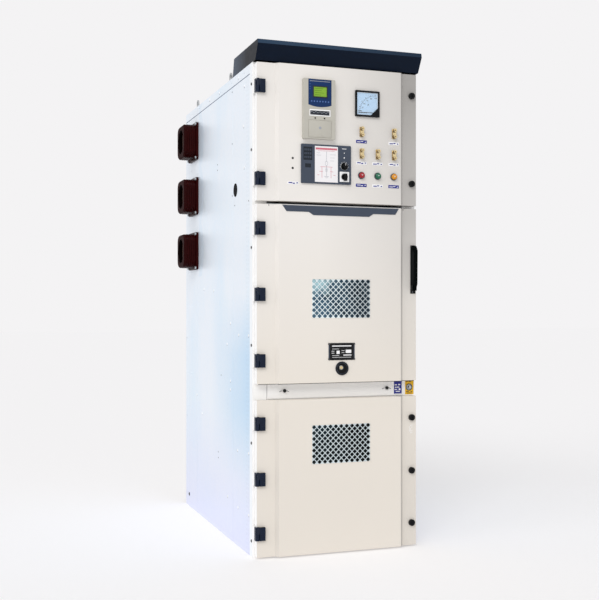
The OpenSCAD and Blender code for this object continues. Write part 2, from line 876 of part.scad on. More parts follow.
module ammeter_needle() {
    y = panel_y - 6.8;
    px = meter_x + meter_w / 2 - 20;
    pz = meter_z - meter_w / 2 + 20;
    color(BLACK) translate([px, 0, pz]) difference() {
        slab_y(y, y + 0.8) {
            circle(r = 5);
            polygon([[0, -1.4], [0, 1.4], [-82, 0.5], [-82, -0.5]]);
        }
        rod_y(0, y - 1, y + 2, 0, 1 + RUN);
    }
}

module mimic_unit() {
    y = panel_y;
    color(SLATE) difference() {
        union() {
            translate([mimic_x, 0, mimic_z]) slab_y(y - 8, y) round_rect(mimic_w, mimic_h, 4);
            block([mimic_x - mimic_w / 2 + 6, y, mimic_z - mimic_h / 2 + 6],
                  [mimic_x + mimic_w / 2 - 6, y + 70, mimic_z + mimic_h / 2 - 6]);
            translate([knob_x, 0, switch_z]) slab_y(y - 10, y - 8) round_rect(48, 48, 3);
        }
        for (z = [knob_z, switch_z]) rod_y(knob_x, y - 11, y + 40, z, 4 + RUN);
        block([-125.5, y - 9, 1702], [-13.5, y - 7.5, 1866]);
        block([-180, y - 9, 1800], [-138, y - 7.2, 1860]);
        block([-172, y - 9, 1766], [-144, y - 7.2, 1784]);
    }
}

module mimic_knob() {
    y = panel_y - 8;
    color(BLACK) {
        rod_y(knob_x, y - 4, y - SEAT, knob_z, 17);
        rod_y(knob_x, y - 18, y - 4, knob_z, 10);
        rod_y(knob_x, y - SEAT - 1, y + 38, knob_z, 4);
        block([knob_x - 2.5, y - 20, knob_z], [knob_x + 2.5, y - 4, knob_z + 15]);
    }
}

module mimic_switch() {
    y = panel_y - 10;
    color(BLACK) {
        rod_y(knob_x, y - 8, y - SEAT, switch_z, 14);
        rod_y(knob_x, y - SEAT - 1, y + 38, switch_z, 4);
        block([knob_x - 5.5, y - 24, switch_z - 19], [knob_x + 5.5, y - 7, switch_z + 13]);
    }
}

module link_posts() {
    y = panel_y;
    color(BRASS) for (p = link_places, s = [-1, 1]) translate([p[0], 0, p[1]]) {
        rod_y(0, y - 28, y, s * stud_gap / 2, 2.5);
        rod_y(0, y - 7, y, s * stud_gap / 2, 6);
        rod_y(0, y - 21, y - 10.6, s * stud_gap / 2, 8);
    }
}

// A brass strap that swings about its lower stud and leaves the upper one through a side slot
module test_link(p) {
    y = panel_y - 7 - SEAT;
    z = stud_gap / 2;
    color(BRASS) translate([p[0], 0, p[1]]) difference() {
        slab_y(y - 3, y) round_rect(18, 46, 5);
        rod_y(0, y - 4, y + 1, -z, 2.5 + RUN);
        rod_y(0, y - 4, y + 1, z, 3);
        block([-10, y - 4, z - 5], [0, y + 1, z + 3]);
    }
}

module test_link_1() { test_link(link_places[0]); }
module test_link_2() { test_link(link_places[1]); }
module test_link_3() { test_link(link_places[2]); }
module test_link_4() { test_link(link_places[3]); }
module test_link_5() { test_link(link_places[4]); }

module pilot_lamps() {
    colours = ["#b02020", "#1f9060", "#e0a020"];
    y = panel_y;
    for (i = [0:2]) color(colours[i]) translate([lamp_x[i], 0, 1741.5]) {
        rod_y(0, y - 6, y, 0, 17);
        translate([0, y - 6, 0]) rotate([90, 0, 0]) intersection() {
            cylinder(r = 14, h = 12);
            translate([0, 0, -8]) sphere(r = 18);
        }
        rod_y(0, y, y + 50, 0, 11);
    }
}

module breaker_door() {
    color(CREAM) {
        difference() {
            door_shell(cross_top, bay_top - 6, breaker_hinges);
            grille_opening(1171);
            rod_y(port_x, panel_y - 1, panel_y + 3, port_z, port_r + RUN);
        }
        for (z = [1000, 1400], s = [-1, 1])
            block([lock_x - 3 + s * 13 - 2.7, strip_y + sheet, z - 10],
                  [lock_x - 3 + s * 13 + 2.7, strip_y + 12, z + 10]);
    }
}

module breaker_grille() {
    color(WHITE) grille(1171);
}

module cable_door() {
    color(CREAM) difference() {
        door_shell(8, cross_z - 4, cable_hinges);
        grille_opening(505);
        for (z = cable_locks) rod_y(lock_x, strip_y - 1, strip_y + 3, z, 8 + RUN);
    }
}

module cable_grille() {
    color(WHITE) grille(505);
}

module title_plate() {
    slab_y(panel_y - 2, panel_y) polygon([
        [-278, 1593], [293, 1593], [276, 1565], [165, 1565], [143, 1551], [-130, 1551],
        [-152, 1565], [-258, 1565]
    ]);
}

module name_plate() {
    translate([7.5, 0, 928]) slab_y(panel_y - 1.5, panel_y) {
        round_rect(112, 79, 3);
        for (s = [-1, 1]) translate([s * 58, 0]) round_rect(12, 60, 2);
    }
}

// Base plate, pivot ears and pin of the door handle
module handle_mount() {
    x0 = lock_x - 5;
    x1 = lock_x + 21;
    mid = (x0 + x1) / 2;
    block([x0, strip_y - 2, 1196], [x1, strip_y, 1424]);
    for (s = [-1, 1]) {
        block([mid + s * 9.5 - 2.5, handle_y - 7, handle_z - 12],
              [mid + s * 9.5 + 2.5, strip_y - 2, handle_z + 14]);
    }
    rod_x(mid - 11, mid + 11, handle_y, handle_z, pin_r);
    rod_y(mid, strip_y - 4, strip_y - 2, 1412, 3.5);
}

module door_fittings() {
    color(SLATE) {
        title_plate();
        name_plate();
        handle_mount();
        difference() {
            rod_y(port_x, panel_y - 5, panel_y, port_z, 31.5);
            rod_y(port_x, panel_y - 6, panel_y + 1, port_z, port_r + RUN);
        }
    }
}

module port_lock() {
    color(BLACK) {
        difference() {
            rod_y(port_x, panel_y - 7, panel_y + 18, port_z, port_r);
            rod_y(port_x - 6, panel_y - 8, panel_y - 5, port_z + 4, 10);
        }
        rod_y(port_x - 6, panel_y - 8, panel_y - 5, port_z + 4, 8);
    }
}

module door_handle() {
    mid = lock_x + 8;
    w = handle_w / 2;
    yz = [
        [7, 3], [-11, 23], [-15, 168], [3, 186], [5, 198], [-15, 198], [-30, 176],
        [-27, 18], [-9, -10], [3, -8]
    ];
    color(BLACK) difference() {
        union() {
            translate([0, handle_y, handle_z]) slab_x(mid - w, mid + w) polygon(yz);
            rod_x(mid - w, mid + w, handle_y, handle_z, 8);
        }
        rod_x(mid - w - 1, mid + w + 1, handle_y, handle_z, pin_r + RUN);
    }
}

module lock_bar() {
    x = lock_x - 3;
    y = strip_y + 5;
    color(STEEL) {
        block([x - 10, y, 830], [x + 10, y + 4, 1556]);
        for (z = hook_levels) {
            block([lock_x - 2, y, z], [lock_x + 2, front_y + 10, z + 20]);
            block([lock_x - 2, front_y + 5, z - 6], [lock_x + 2, front_y + 10, z + 20]);
        }
    }
}

module latch(z) {
    color(BLACK) difference() {
        union() {
            rod_y(lock_x, strip_y - 12, strip_y - SEAT, z, 15);
            rod_y(lock_x, strip_y - 1, front_y + 8, z, 8);
            translate([lock_x, 0, z]) slab_y(front_y + 5, front_y + 8) round_rect(16, 44, 3);
        }
        block([lock_x - 1.5, strip_y - 13, z - 6], [lock_x + 1.5, strip_y - 9, z + 6]);
    }
}

module instrument_latch_top() { latch(instrument_locks[0]); }
module instrument_latch_bottom() { latch(instrument_locks[1]); }
module cable_latch_top() { latch(cable_locks[0]); }
module cable_latch_middle() { latch(cable_locks[1]); }
module cable_latch_bottom() { latch(cable_locks[2]); }

// Truck and breaker

module truck_chassis() {
    w = truck_w / 2;
    y0 = -600;
    y1 = -160;
    color(STEEL) difference() {
        block([-w, y0, floor_z + 22], [w, y1, deck_z]);
        block([-w + 3, y0 + 3, floor_z + 21], [w - 3, y1 - 3, deck_z - 3]);
        rod_y(port_x, y0 - 1, y0 + 4, port_z, 15);
        for (y = axle_ys) rod_x(-w - 1, w + 1, y, axle_z, axle_r + RUN);
    }
}

module axle(y) {
    w = truck_w / 2;
    color(STEEL) {
        rod_x(-w - 29, w + 29, y, axle_z, axle_r);
        for (s = [-1, 1]) difference() {
            rod_x(s * (w + 17) - 10, s * (w + 17) + 10, y, axle_z, wheel_r);
            rod_x(s * (w + 26) - 3, s * (w + 26) + 3, y, axle_z, wheel_r - 6);
        }
        for (s = [-1, 1]) rod_x(s * (w + 26) - 3, s * (w + 26) + 3, y, axle_z, axle_r);
    }
}

module front_axle() {
    axle(axle_ys[0]);
}

module rear_axle() {
    axle(axle_ys[1]);
}

module breaker_mechanism() {
    w = 270;
    y0 = -590;
    y1 = pole_y - 72;
    color("#9aa2a8") difference() {
        block([-w, y0, deck_z], [w, y1, 1500]);
        block([-w + 3, y0 + 3, deck_z - 1], [w - 3, y1 - 3, 1497]);
        block([-60, y0 - 1, 1330], [60, y0 + 4, 1390]);
    }
    color(BLACK) for (x = [-150, 150]) rod_y(x, y0 - 8, y0, 1250, 18);
}

module breaker_poles() {
    color(EPOXY) for (x = phases) translate([x, 0, 0]) {
        rod_z(0, pole_y, 955, 1500, pole_r);
        for (z = [975:60:1490]) rod_z(0, pole_y, z, z + 8, pole_r + 8);
        for (z = [upper_z, lower_z]) difference() {
            union() {
                rod_y(0, pole_y, -245, z, 45);
                rod_y(0, -246, -115, z, 40);
            }
            rod_y(0, -245, -114, z, 25);
        }
        for (z = [1000, 1420]) block([-40, pole_y - 72, z], [40, pole_y, z + 60]);
    }
}

// A copper arm ending in a ring of contact fingers
module contact_arm() {
    difference() {
        union() {
            rod_y(0, -245, -78, 0, 25);
            rod_y(0, -80, tip_y, 0, 45);
        }
        rod_y(0, tip_y - 35, tip_y + 1, 0, stem_r + 0.5);
        rod_y(0, tip_y - 22, tip_y - 10, 0, stem_r + 6);
        for (a = [0:30:150]) rotate([0, a, 0])
            block([-50, tip_y - 40, -1.2], [50, tip_y + 1, 1.2]);
    }
}

module contact_arms() {
    color(COPPER) for (x = phases, z = [upper_z, lower_z]) translate([x, 0, z]) contact_arm();
}

// A sheet shutter with two sliding eyes on each side
module shutter(z) {
    y = shutter_y + shutter_t / 2;
    x = shutter_rod_x;
    difference() {
        union() {
            block([-x + 22, shutter_y, z - shutter_h / 2],
                  [x - 22, shutter_y + shutter_t, z + shutter_h / 2]);
            for (s = [-1, 1], h = [-1, 1])
                block([s * (x - 9) - 20, y - 8, z + h * (shutter_h / 2 - 18) - 10],
                      [s * (x - 9) + 20, y + 8, z + h * (shutter_h / 2 - 18) + 10]);
        }
        for (s = [-1, 1])
            rod_z(s * x, y, z - shutter_h, z + shutter_h, 6 + RUN);
    }
}

module upper_shutter() {
    color(STEEL) shutter(upper_z);
}

module lower_shutter() {
    color(STEEL) shutter(lower_z);
}

base_frame();
left_side_wall();
right_side_wall();
front_frame();
instrument_box();
inner_partitions();
contact_boxes();
fixed_contacts();
main_busbars();
busbar_bushings();
current_transformers();
earthing_switch_frame();
rear_covers();
roof_plate();
header();
lifting_lugs();
gland_plate();
earth_bar();
hinge_brackets();
cover_bolts();
instrument_door();
relay_case();
ammeter_case();
mimic_unit();
link_posts();
pilot_lamps();
breaker_door();
breaker_grille();
door_fittings();
cable_door();
cable_grille();
instrument_latch_top();
instrument_latch_bottom();
cable_latch_top();
cable_latch_middle();
cable_latch_bottom();
door_handle();
lock_bar();
port_lock();
mimic_knob();
mimic_switch();
test_link_1();
test_link_2();
test_link_3();
test_link_4();
test_link_5();
ammeter_needle();
earthing_drive_shaft();
earthing_blades();
truck_chassis();
breaker_mechanism();
breaker_poles();
contact_arms();
front_axle();
rear_axle();
upper_shutter();
lower_shutter();
relief_flap_front();
relief_flap_middle();
relief_flap_rear();
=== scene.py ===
"""Finishes and small pieces for a withdrawable metal-clad switchgear cabinet.

Laid out as an add-on: two groups of settings, one operator for each group of
pieces and one for the studio, and a panel that lists them.
"""

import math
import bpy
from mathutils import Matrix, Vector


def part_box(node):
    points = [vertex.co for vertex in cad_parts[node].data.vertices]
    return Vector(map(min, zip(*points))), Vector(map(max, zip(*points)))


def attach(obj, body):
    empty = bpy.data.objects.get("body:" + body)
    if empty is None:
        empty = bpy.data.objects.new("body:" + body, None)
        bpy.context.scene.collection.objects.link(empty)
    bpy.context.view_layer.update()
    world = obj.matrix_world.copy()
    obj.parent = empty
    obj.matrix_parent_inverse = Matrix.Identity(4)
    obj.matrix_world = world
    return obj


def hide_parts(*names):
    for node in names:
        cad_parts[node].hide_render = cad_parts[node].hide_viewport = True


bl_info = {
    "name": "Metal-clad switchgear cabinet",
    "version": (1, 0, 0),
    "blender": (4, 5, 0),
    "location": "3D View > Sidebar > Switchgear",
    "description": "Dresses the cabinet's solids with finishes, instruments and labels",
    "category": "Object",
}

import bmesh
import bpy
from bpy.props import FloatProperty, FloatVectorProperty, PointerProperty
from mathutils import Matrix, Vector

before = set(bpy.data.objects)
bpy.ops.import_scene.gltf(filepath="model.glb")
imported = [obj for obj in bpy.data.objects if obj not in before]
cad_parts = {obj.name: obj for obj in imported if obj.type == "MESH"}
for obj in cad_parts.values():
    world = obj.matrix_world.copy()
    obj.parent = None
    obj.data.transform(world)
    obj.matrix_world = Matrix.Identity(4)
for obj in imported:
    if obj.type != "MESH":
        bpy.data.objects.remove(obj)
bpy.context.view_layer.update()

# Planes of the cabinet's front, in metres
PANEL_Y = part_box("breaker_door")[0].y
STRIP_Y = PANEL_Y + 0.016
POST_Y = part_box("left_side_wall")[0].y - 0.050
WALL_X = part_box("left_side_wall")[0].x
TOP_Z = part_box("left_side_wall")[1].z
HEADER_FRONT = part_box("header")[0].y
HEADER_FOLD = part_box("header")[1].z - TOP_Z - 0.0185
DOOR_STRIP_X = 0.3200
BEVELS = (-0.3005, 0.3125)
SHEET_LEDGE = TOP_Z - 0.0455
BUS_Y, BUS_Z, BUS_PITCH = 0.489, 1.443, 0.303
REAR_HOLE = (0.620, 0.068)
LUG_Y = (-0.288, 0.430)
WIRE_HOLE = (-0.402, 1.692)
POST_HOLES = (0.073, 0.516, 0.959, 1.402, 1.845, 2.143)

# The photograph in pixels, and its camera: place in metres, turn in degrees, lens in mm
PHOTO_SIZE = (599, 600)
CAMERA_PLACE = (-1.68199, -5.25016, 1.12835)
CAMERA_TURN = -20.381
CAMERA_LENS = 62.58
CAMERA_SENSOR = 36.0
CAMERA_SHIFT = (-0.0628, 0.0132)

# Spots on the left wall, picked in two enlarged parts of the photograph. Each is a
# column and a row of the enlargement, whose upper left corner is a pixel of the photograph.
ENLARGED = 3.6
UPPER_PART = (178, 60)
LOWER_PART = (178, 300)
UPPER_DIMPLES = (
    (240, 95), (237, 240), (218, 65), (150, 120), (115, 145), (239, 388), (95, 825),
    (130, 830), (190, 947))
LOWER_DIMPLES = (
    (220, 125), (258, 128), (178, 158), (190, 290), (190, 322), (70, 340), (88, 408),
    (216, 540), (258, 552), (180, 705), (217, 745), (258, 775))
UPPER_DOTS = (
    (196, 117), (196, 303), (143, 378), (143, 398), (196, 490), (205, 525), (255, 508))
LOWER_DOTS = ((156, 270), (146, 546), (146, 566))

# No spot stands further forward than this, where the sheet begins to bend
SPOTS_FRONT = -0.640

# Places of the instruments on the door, across and up, in metres
RELAY = (-0.108, 2.032)
RELAY_DEPTH = 0.021
METER = (0.133, 2.074)
METER_HALF = 0.060
METER_PIVOT = (0.173, 2.034)
MIMIC = (-0.0695, 1.784)
KNOB = (0.0174, 1.778)
SWITCH = (0.0174, 1.730)
LAMPS = ((0.1046, 1.7415), (0.186, 1.7415), (0.2675, 1.7415))
LINKS = ((0.1056, 1.943), (0.2685, 1.943), (0.1056, 1.8425), (0.186, 1.8425), (0.2685, 1.8425))
LINK_GAP = 0.029
DOT_HOLES = ((-0.2286, 1.806), (-0.2286, 1.761))
WINDOWS = (("breaker", 0.007, 1.171), ("cable", 0.007, 0.505))
WINDOW_SIZE = (0.285, 0.177)
NAMEPLATE = (0.0075, 0.928)
PORT = (0.0086, 0.8505)
LATCHES = (
    ("instrument_latch_top", 2.130),
    ("instrument_latch_bottom", 1.714),
    ("cable_latch_top", 0.611),
    ("cable_latch_middle", 0.361),
    ("cable_latch_bottom", 0.114),
)
LATCH_X = 0.3655
HINGES = {
    "instrument_door_leaf": (2.125, 1.709),
    "breaker_door_leaf": (1.486, 1.189, 0.891),
    "cable_door_leaf": (0.608, 0.359, 0.115),
}
HINGE_X = -0.389
DRIVE = (0.372, 0.751)
BLUE_LABEL = (0.3120, 0.7515)
YELLOW_LABEL = (0.3735, 0.7515)
PHASES = (-0.210, 0.0, 0.210)
CONTACTS = (1.365, 1.090)
WHITE_STRIPS = (
    (0.2685, 1.898), (0.1056, 1.799), (0.1855, 1.799), (0.2685, 1.799), (0.1860, 1.696),
    (-0.2270, 1.6935))
BLUE_STRIPS = ((0.1056, 1.898), (0.1046, 1.696), (0.2675, 1.696))
BREAKER_WINDOWS = ((-0.110, 1.395), (0.110, 1.395), (0.0, 1.215))
DUCT_Y = -0.355
DUCT_LEVELS = (1.650, 1.850, 2.050)
DUCT_HALF = 0.33
DUCT_PITCH = 0.015
TERMINAL_Y = -0.406
TERMINAL_LEVELS = (1.750, 1.950)
TERMINAL_PITCH = 0.024


def rgb(red, green, blue):
    """A colour written as screen values from 0 to 255, as the linear values shaders use."""
    shares = (value / 255 for value in (red, green, blue))
    return tuple(s / 12.92 if s < 0.04045 else ((s + 0.055) / 1.055) ** 2.4 for s in shares)


# Settings

class CabinetSizes(bpy.types.PropertyGroup):
    """Sizes of the small pieces."""

    label_length: FloatProperty(
        name="Label length", description="Length of an engraved label strip",
        default=0.053, min=0.02, max=0.08, unit="LENGTH")
    label_height: FloatProperty(
        name="Label height", description="Height of an engraved label strip",
        default=0.014, min=0.006, max=0.03, unit="LENGTH")
    label_thickness: FloatProperty(
        name="Label thickness", description="Thickness of an engraved label strip",
        default=0.0012, min=0.0005, max=0.003, unit="LENGTH")
    seal_width: FloatProperty(
        name="Seal width", description="Width of the rubber seal behind a door",
        default=0.009, min=0.004, max=0.014, unit="LENGTH")
    dial_margin: FloatProperty(
        name="Dial margin", description="Black frame left round the meter's dial",
        default=0.0085, min=0.004, max=0.015, unit="LENGTH")
    rivet_radius: FloatProperty(
        name="Rivet radius", description="Radius of a rivet on the side walls",
        default=0.004, min=0.002, max=0.008, unit="LENGTH")


def colour(name, description, value):
    """A colour setting with its default in screen values."""
    return FloatVectorProperty(
        name=name, description=description, subtype="COLOR", size=3, min=0.0, max=1.0,
        default=rgb(*value))


class CabinetColours(bpy.types.PropertyGroup):
    """Colours of the finishes."""

    door_paint: colour("Door paint", "Textured paint on the doors", (241, 237, 232))
    frame_paint: colour("Frame paint", "Paint on the front frame", (254, 253, 252))
    wall_metal: colour("Wall metal", "Coated sheet of the walls", (240, 247, 254))
    inner_metal: colour("Inner metal", "Coated sheet of the inner walls", (196, 204, 214))
    header_paint: colour("Header paint", "Paint on the header", (3, 19, 39))
    # Painted highlight of the header's top fold.
    header_fold_highlight: colour("Header fold", "Paler paint on the header's top fold", (46, 66, 88))
    # Painted light towards the back of the header's ends.
    header_end_light: colour("Header end", "Paler paint towards the back of the ends", (62, 73, 88))
    hinge_coat: colour("Hinge coat", "Coat on the hinges", (12, 24, 44))
    resin: colour("Resin", "Cast resin of bushings and poles", (43, 2, 2))
    copper: colour("Copper", "Bare copper", (214, 138, 100))
    brass: colour("Brass", "Turned brass", (250, 228, 176))
    plating: colour("Plating", "Zinc plating on steel", (196, 200, 206))
    relay_housing: colour("Relay housing", "Moulded relay case", (192, 189, 179))
    relay_panel: colour("Relay panel", "Blue membrane of the relay", (24, 52, 98))
    display: colour("Display", "Relay's display", (138, 184, 58))
    dial: colour("Dial", "Meter's dial", (188, 219, 246))
    slate: colour("Slate", "Mimic unit and title plate", (70, 78, 92))
    # The deep tint of the breaker window also stands for the shade of the compartment behind it;
    # the cable window takes its painted reflections in this colour.
    window_dark: colour("Window tint", "Deep tint of the breaker window", (46, 66, 80))
    # Painted reflection on the breaker window.
    window_reflection: colour("Window cloud", "Pale patches of the breaker window", (176, 212, 220))
    # The two grille colours: their cool tint is partly painted reflection.
    breaker_grille: colour("Breaker grille", "Cool white of the breaker door's grille",
                           (236, 248, 253))
    cable_grille: colour("Cable grille", "Cool white of the cable door's grille", (216, 227, 231))
    # The near-black tint of the cable window also stands for the shade of the compartment behind
    # it.
    vent_dark: colour("Lower window tint", "Deep tint of the cable window", (9, 20, 22))
    label_blue: colour("Blue label", "Blue label strips", (34, 42, 138))
    label_yellow: colour("Yellow label", "Label at the earthing drive", (236, 184, 30))
    lamp_red: colour("Red lamp", "Lens of the left lamp", (170, 14, 30))
    lamp_green: colour("Green lamp", "Lens of the middle lamp", (8, 110, 78))
    lamp_amber: colour("Amber lamp", "Lens of the right lamp", (226, 150, 20))
    backdrop: colour("Backdrop", "Floor and background", (244, 243, 244))


# Shader maths

class Wire:
    """A number that runs through a material, with Python's operators on it."""

    def __init__(self, graph, socket):
        self.graph = graph
        self.socket = socket

    def maths(self, operation, first, second):
        """One operation on two numbers, either of which may be a wire."""
        return self.graph.node("ShaderNodeMath", {"operation": operation}, {0: first, 1: second})

    def __add__(self, other):
        return self.maths("ADD", self, other)

    def __radd__(self, other):
        return self.maths("ADD", other, self)

    def __sub__(self, other):
        return self.maths("SUBTRACT", self, other)

    def __rsub__(self, other):
        return self.maths("SUBTRACT", other, self)

    def __mul__(self, other):
        return self.maths("MULTIPLY", self, other)

    def __rmul__(self, other):
        return self.maths("MULTIPLY", other, self)

    def __gt__(self, other):
        return self.maths("GREATER_THAN", self, other)

    def __lt__(self, other):
        return self.maths("LESS_THAN", self, other)

    def __mod__(self, other):
        return self.maths("FLOORED_MODULO", self, other)

    def __abs__(self):
        return self.graph.node("ShaderNodeMath", {"operation": "ABSOLUTE"}, {0: self})


class Graph:
    """A material's nodes, built from values and wires."""

    def __init__(self, name, **shader):
        self.material = bpy.data.materials.new(name)
        self.material.use_nodes = True
        self.tree = self.material.node_tree
        self.shader = self.tree.nodes["Principled BSDF"]
        self.set(**shader)

    def node(self, kind, settings, sockets, output=0):
        """Adds a node: its settings first, then its sockets' values or links."""
        node = self.tree.nodes.new(kind)
        stops = settings.pop("stops", None)
        for key, value in settings.items():
            setattr(node, key, value)
        if stops:
            ramp = node.color_ramp
            while len(ramp.elements) < len(stops):
                ramp.elements.new(1.0)
            for element, (place, shade) in zip(ramp.elements, stops):
                element.position = place
                element.color = (*shade, 1.0)
        for key, value in sockets.items():
            self.connect(node.inputs[key], value)
        return Wire(self, node.outputs[output])

    def connect(self, socket, value):
        """Links a wire to a socket, or sets the socket's value."""
        if isinstance(value, Wire):
            self.tree.links.new(value.socket, socket)
        elif hasattr(value, "__len__") and len(value) == 3 and socket.type == "RGBA":
            socket.default_value = (*value, 1.0)
        else:
            socket.default_value = value

    def set(self, **shader):
        """Sets the shader's sockets; a socket's name is given with underscores."""
        for key, value in shader.items():
            name = key.replace("_", " ").title().replace("Ior", "IOR")
            self.connect(self.shader.inputs[name], value)

    def place(self, stretch=(1.0, 1.0, 1.0)):
        """Object coordinates, stretched."""
        here = self.node("ShaderNodeTexCoord", {}, {}, "Object")
        return self.node("ShaderNodeMapping", {}, {"Vector": here, "Scale": stretch})

    def along(self, axis):
        """One coordinate of the piece, in metres."""
        here = self.node("ShaderNodeTexCoord", {}, {}, "Object")
        return self.node("ShaderNodeSeparateXYZ", {}, {"Vector": here}, axis)

    def noise(self, scale, detail=3.0, stretch=(1.0, 1.0, 1.0), rough=0.5):
        """Cloudy patches; a larger scale makes smaller ones."""
        return self.node("ShaderNodeTexNoise", {}, {
            "Vector": self.place(stretch), "Scale": scale, "Detail": detail, "Roughness": rough})

    def cells(self, scale, output="Color"):
        """Cells of one colour each, or the distance from their middles."""
        return self.node("ShaderNodeTexVoronoi", {}, {
            "Vector": self.place(), "Scale": scale}, output)

    def shade(self, base, low, high, factor):
        """The base colour, made from low to high times as bright by a factor."""
        dark = tuple(min(1.0, c * low) for c in base)
        light = tuple(min(1.0, c * high) for c in base)
        return self.blend(dark, light, factor)

    def blend(self, first, second, factor):
        """One colour changing into another by a factor from 0 to 1."""
        return self.node(
            "ShaderNodeMix", {"data_type": "RGBA", "clamp_factor": True},
            {"Factor": factor, 6: first, 7: second}, 2)

    def bump(self, height, strength, distance):
        """Raises the surface by a height; strength is a share, distance in metres."""
        normal = self.node("ShaderNodeBump", {}, {
            "Height": height, "Strength": strength, "Distance": distance}, "Normal")
        self.connect(self.shader.inputs["Normal"], normal)

    def orange_peel(self):
        """The fine and coarse ripple of a powder coat."""
        self.bump(self.noise(900.0, 2.0) * 0.35 + self.noise(260.0, 2.0) * 0.65, 0.22, 0.0004)

    def ramp(self, value, start, stop):
        """0 at the start of a stretch of a coordinate, 1 at its end and beyond."""
        return self.node("ShaderNodeMapRange", {"clamp": True}, {
            "Value": value, "From Min": start, "From Max": stop})

    def band(self, value, centre, half_width):
        """1 inside a band of a coordinate, 0 outside it."""
        return abs(value - centre) < half_width


# Finishes

def textured_paint(name, base, roughness=0.42):
    """Powder coat: fine orange peel, faint dust and a slightly uneven gloss."""
    g = Graph(name, specular_ior_level=0.35)
    dust = g.noise(2.2, 4.0, (1.0, 1.0, 0.35))
    g.set(base_color=g.shade(base, 0.965, 1.02, dust), roughness=roughness - 0.08 + dust * 0.16)
    g.orange_peel()
    return g.material


def frame_coat(name, base, side_colour):
    """The white frame, whose post sides are left in the walls' cool sheet colour."""
    g = Graph(name, specular_ior_level=0.35)
    dust = g.noise(2.2, 4.0, (1.0, 1.0, 0.35))
    side = (g.along("X") < WALL_X + 0.0006) * (g.along("Y") > POST_Y + 0.010) * (0.45 + dust * 0.3)
    g.set(base_color=g.blend(g.shade(base, 0.965, 1.02, dust), side_colour, side),
          roughness=0.30 + dust * 0.16)
    g.orange_peel()
    return g.material


def door_paint(name, base, edge, hinge):
    """Door coat with painted shade: greyer towards the lock side, the top and the foot and on both
    bevel faces; pale on the hinge edge, dark hinges.
    """
    g = Graph(name, specular_ior_level=0.3)
    dust = g.noise(2.2, 4.0, (1.0, 1.0, 0.35))
    across, deep, up = g.along("X"), g.along("Y"), g.along("Z")
    # Painted shade: the coat greys towards the right side and the top, on the lock-side strip, on
    # both bevel faces and towards the foot.
    right = g.ramp(across, -0.10, 0.30) * g.ramp(up, 0.55, 2.10) * 0.44
    lock_edge_shade = (across > DOOR_STRIP_X) * (
        0.06 + g.ramp(up, 1.15, 1.55) * 0.38 + g.ramp(up, 1.9, 2.2) * 0.15
        + g.ramp(up, 0.7, 0.2) * 0.10)
    bevel_shade = (g.band(across, BEVELS[0], 0.0075) * (0.12 + g.ramp(up, 1.2, 0.4) * 0.14)
              + g.band(across, BEVELS[1], 0.0070) * 0.50)
    warm = tuple(c * w for c, w in zip(base, (0.955, 0.925, 0.875)))
    # The grey that the painted shade, with a little random dust, blends the coat towards.
    grey = tuple(c * 0.45 for c in base)
    coat = g.blend(g.blend(base, warm, g.ramp(up, 1.50, 0.80)), grey,
                   right + lock_edge_shade + bevel_shade + g.ramp(up, 0.8, 0.3) * 0.07 + dust * 0.04)
    fold = (across < WALL_X + 0.0084) * (deep > STRIP_Y + 0.0004)
    leaf = (across < WALL_X + 0.0448) * (deep < STRIP_Y - 0.0006)
    g.set(base_color=g.blend(g.blend(coat, edge, fold), hinge, leaf), roughness=0.34 + dust * 0.16)
    g.orange_peel()
    return g.material


def coated_sheet(name, base, spangle=70.0, roughness=0.30):
    """Aluminium-zinc coated sheet: small crystals, rolling streaks and smears."""
    g = Graph(name, metallic=0.55, specular_ior_level=0.3)
    crystal = g.node("ShaderNodeSeparateColor", {}, {"Color": g.cells(spangle)}, 0)
    streak = g.noise(7.0, 4.0, (1.0, 1.0, 0.06), 0.65)
    smear = g.noise(1.6, 5.0, (1.0, 1.0, 0.5), 0.6)
    tone = crystal * 0.22 + streak * 0.38 + smear * 0.4
    g.set(base_color=g.shade(base, 0.90, 1.06, tone),
          roughness=roughness - 0.06 + crystal * 0.10 + smear * 0.14)
    g.bump(crystal * 0.3 + streak * 0.7, 0.10, 0.0005)
    return g.material


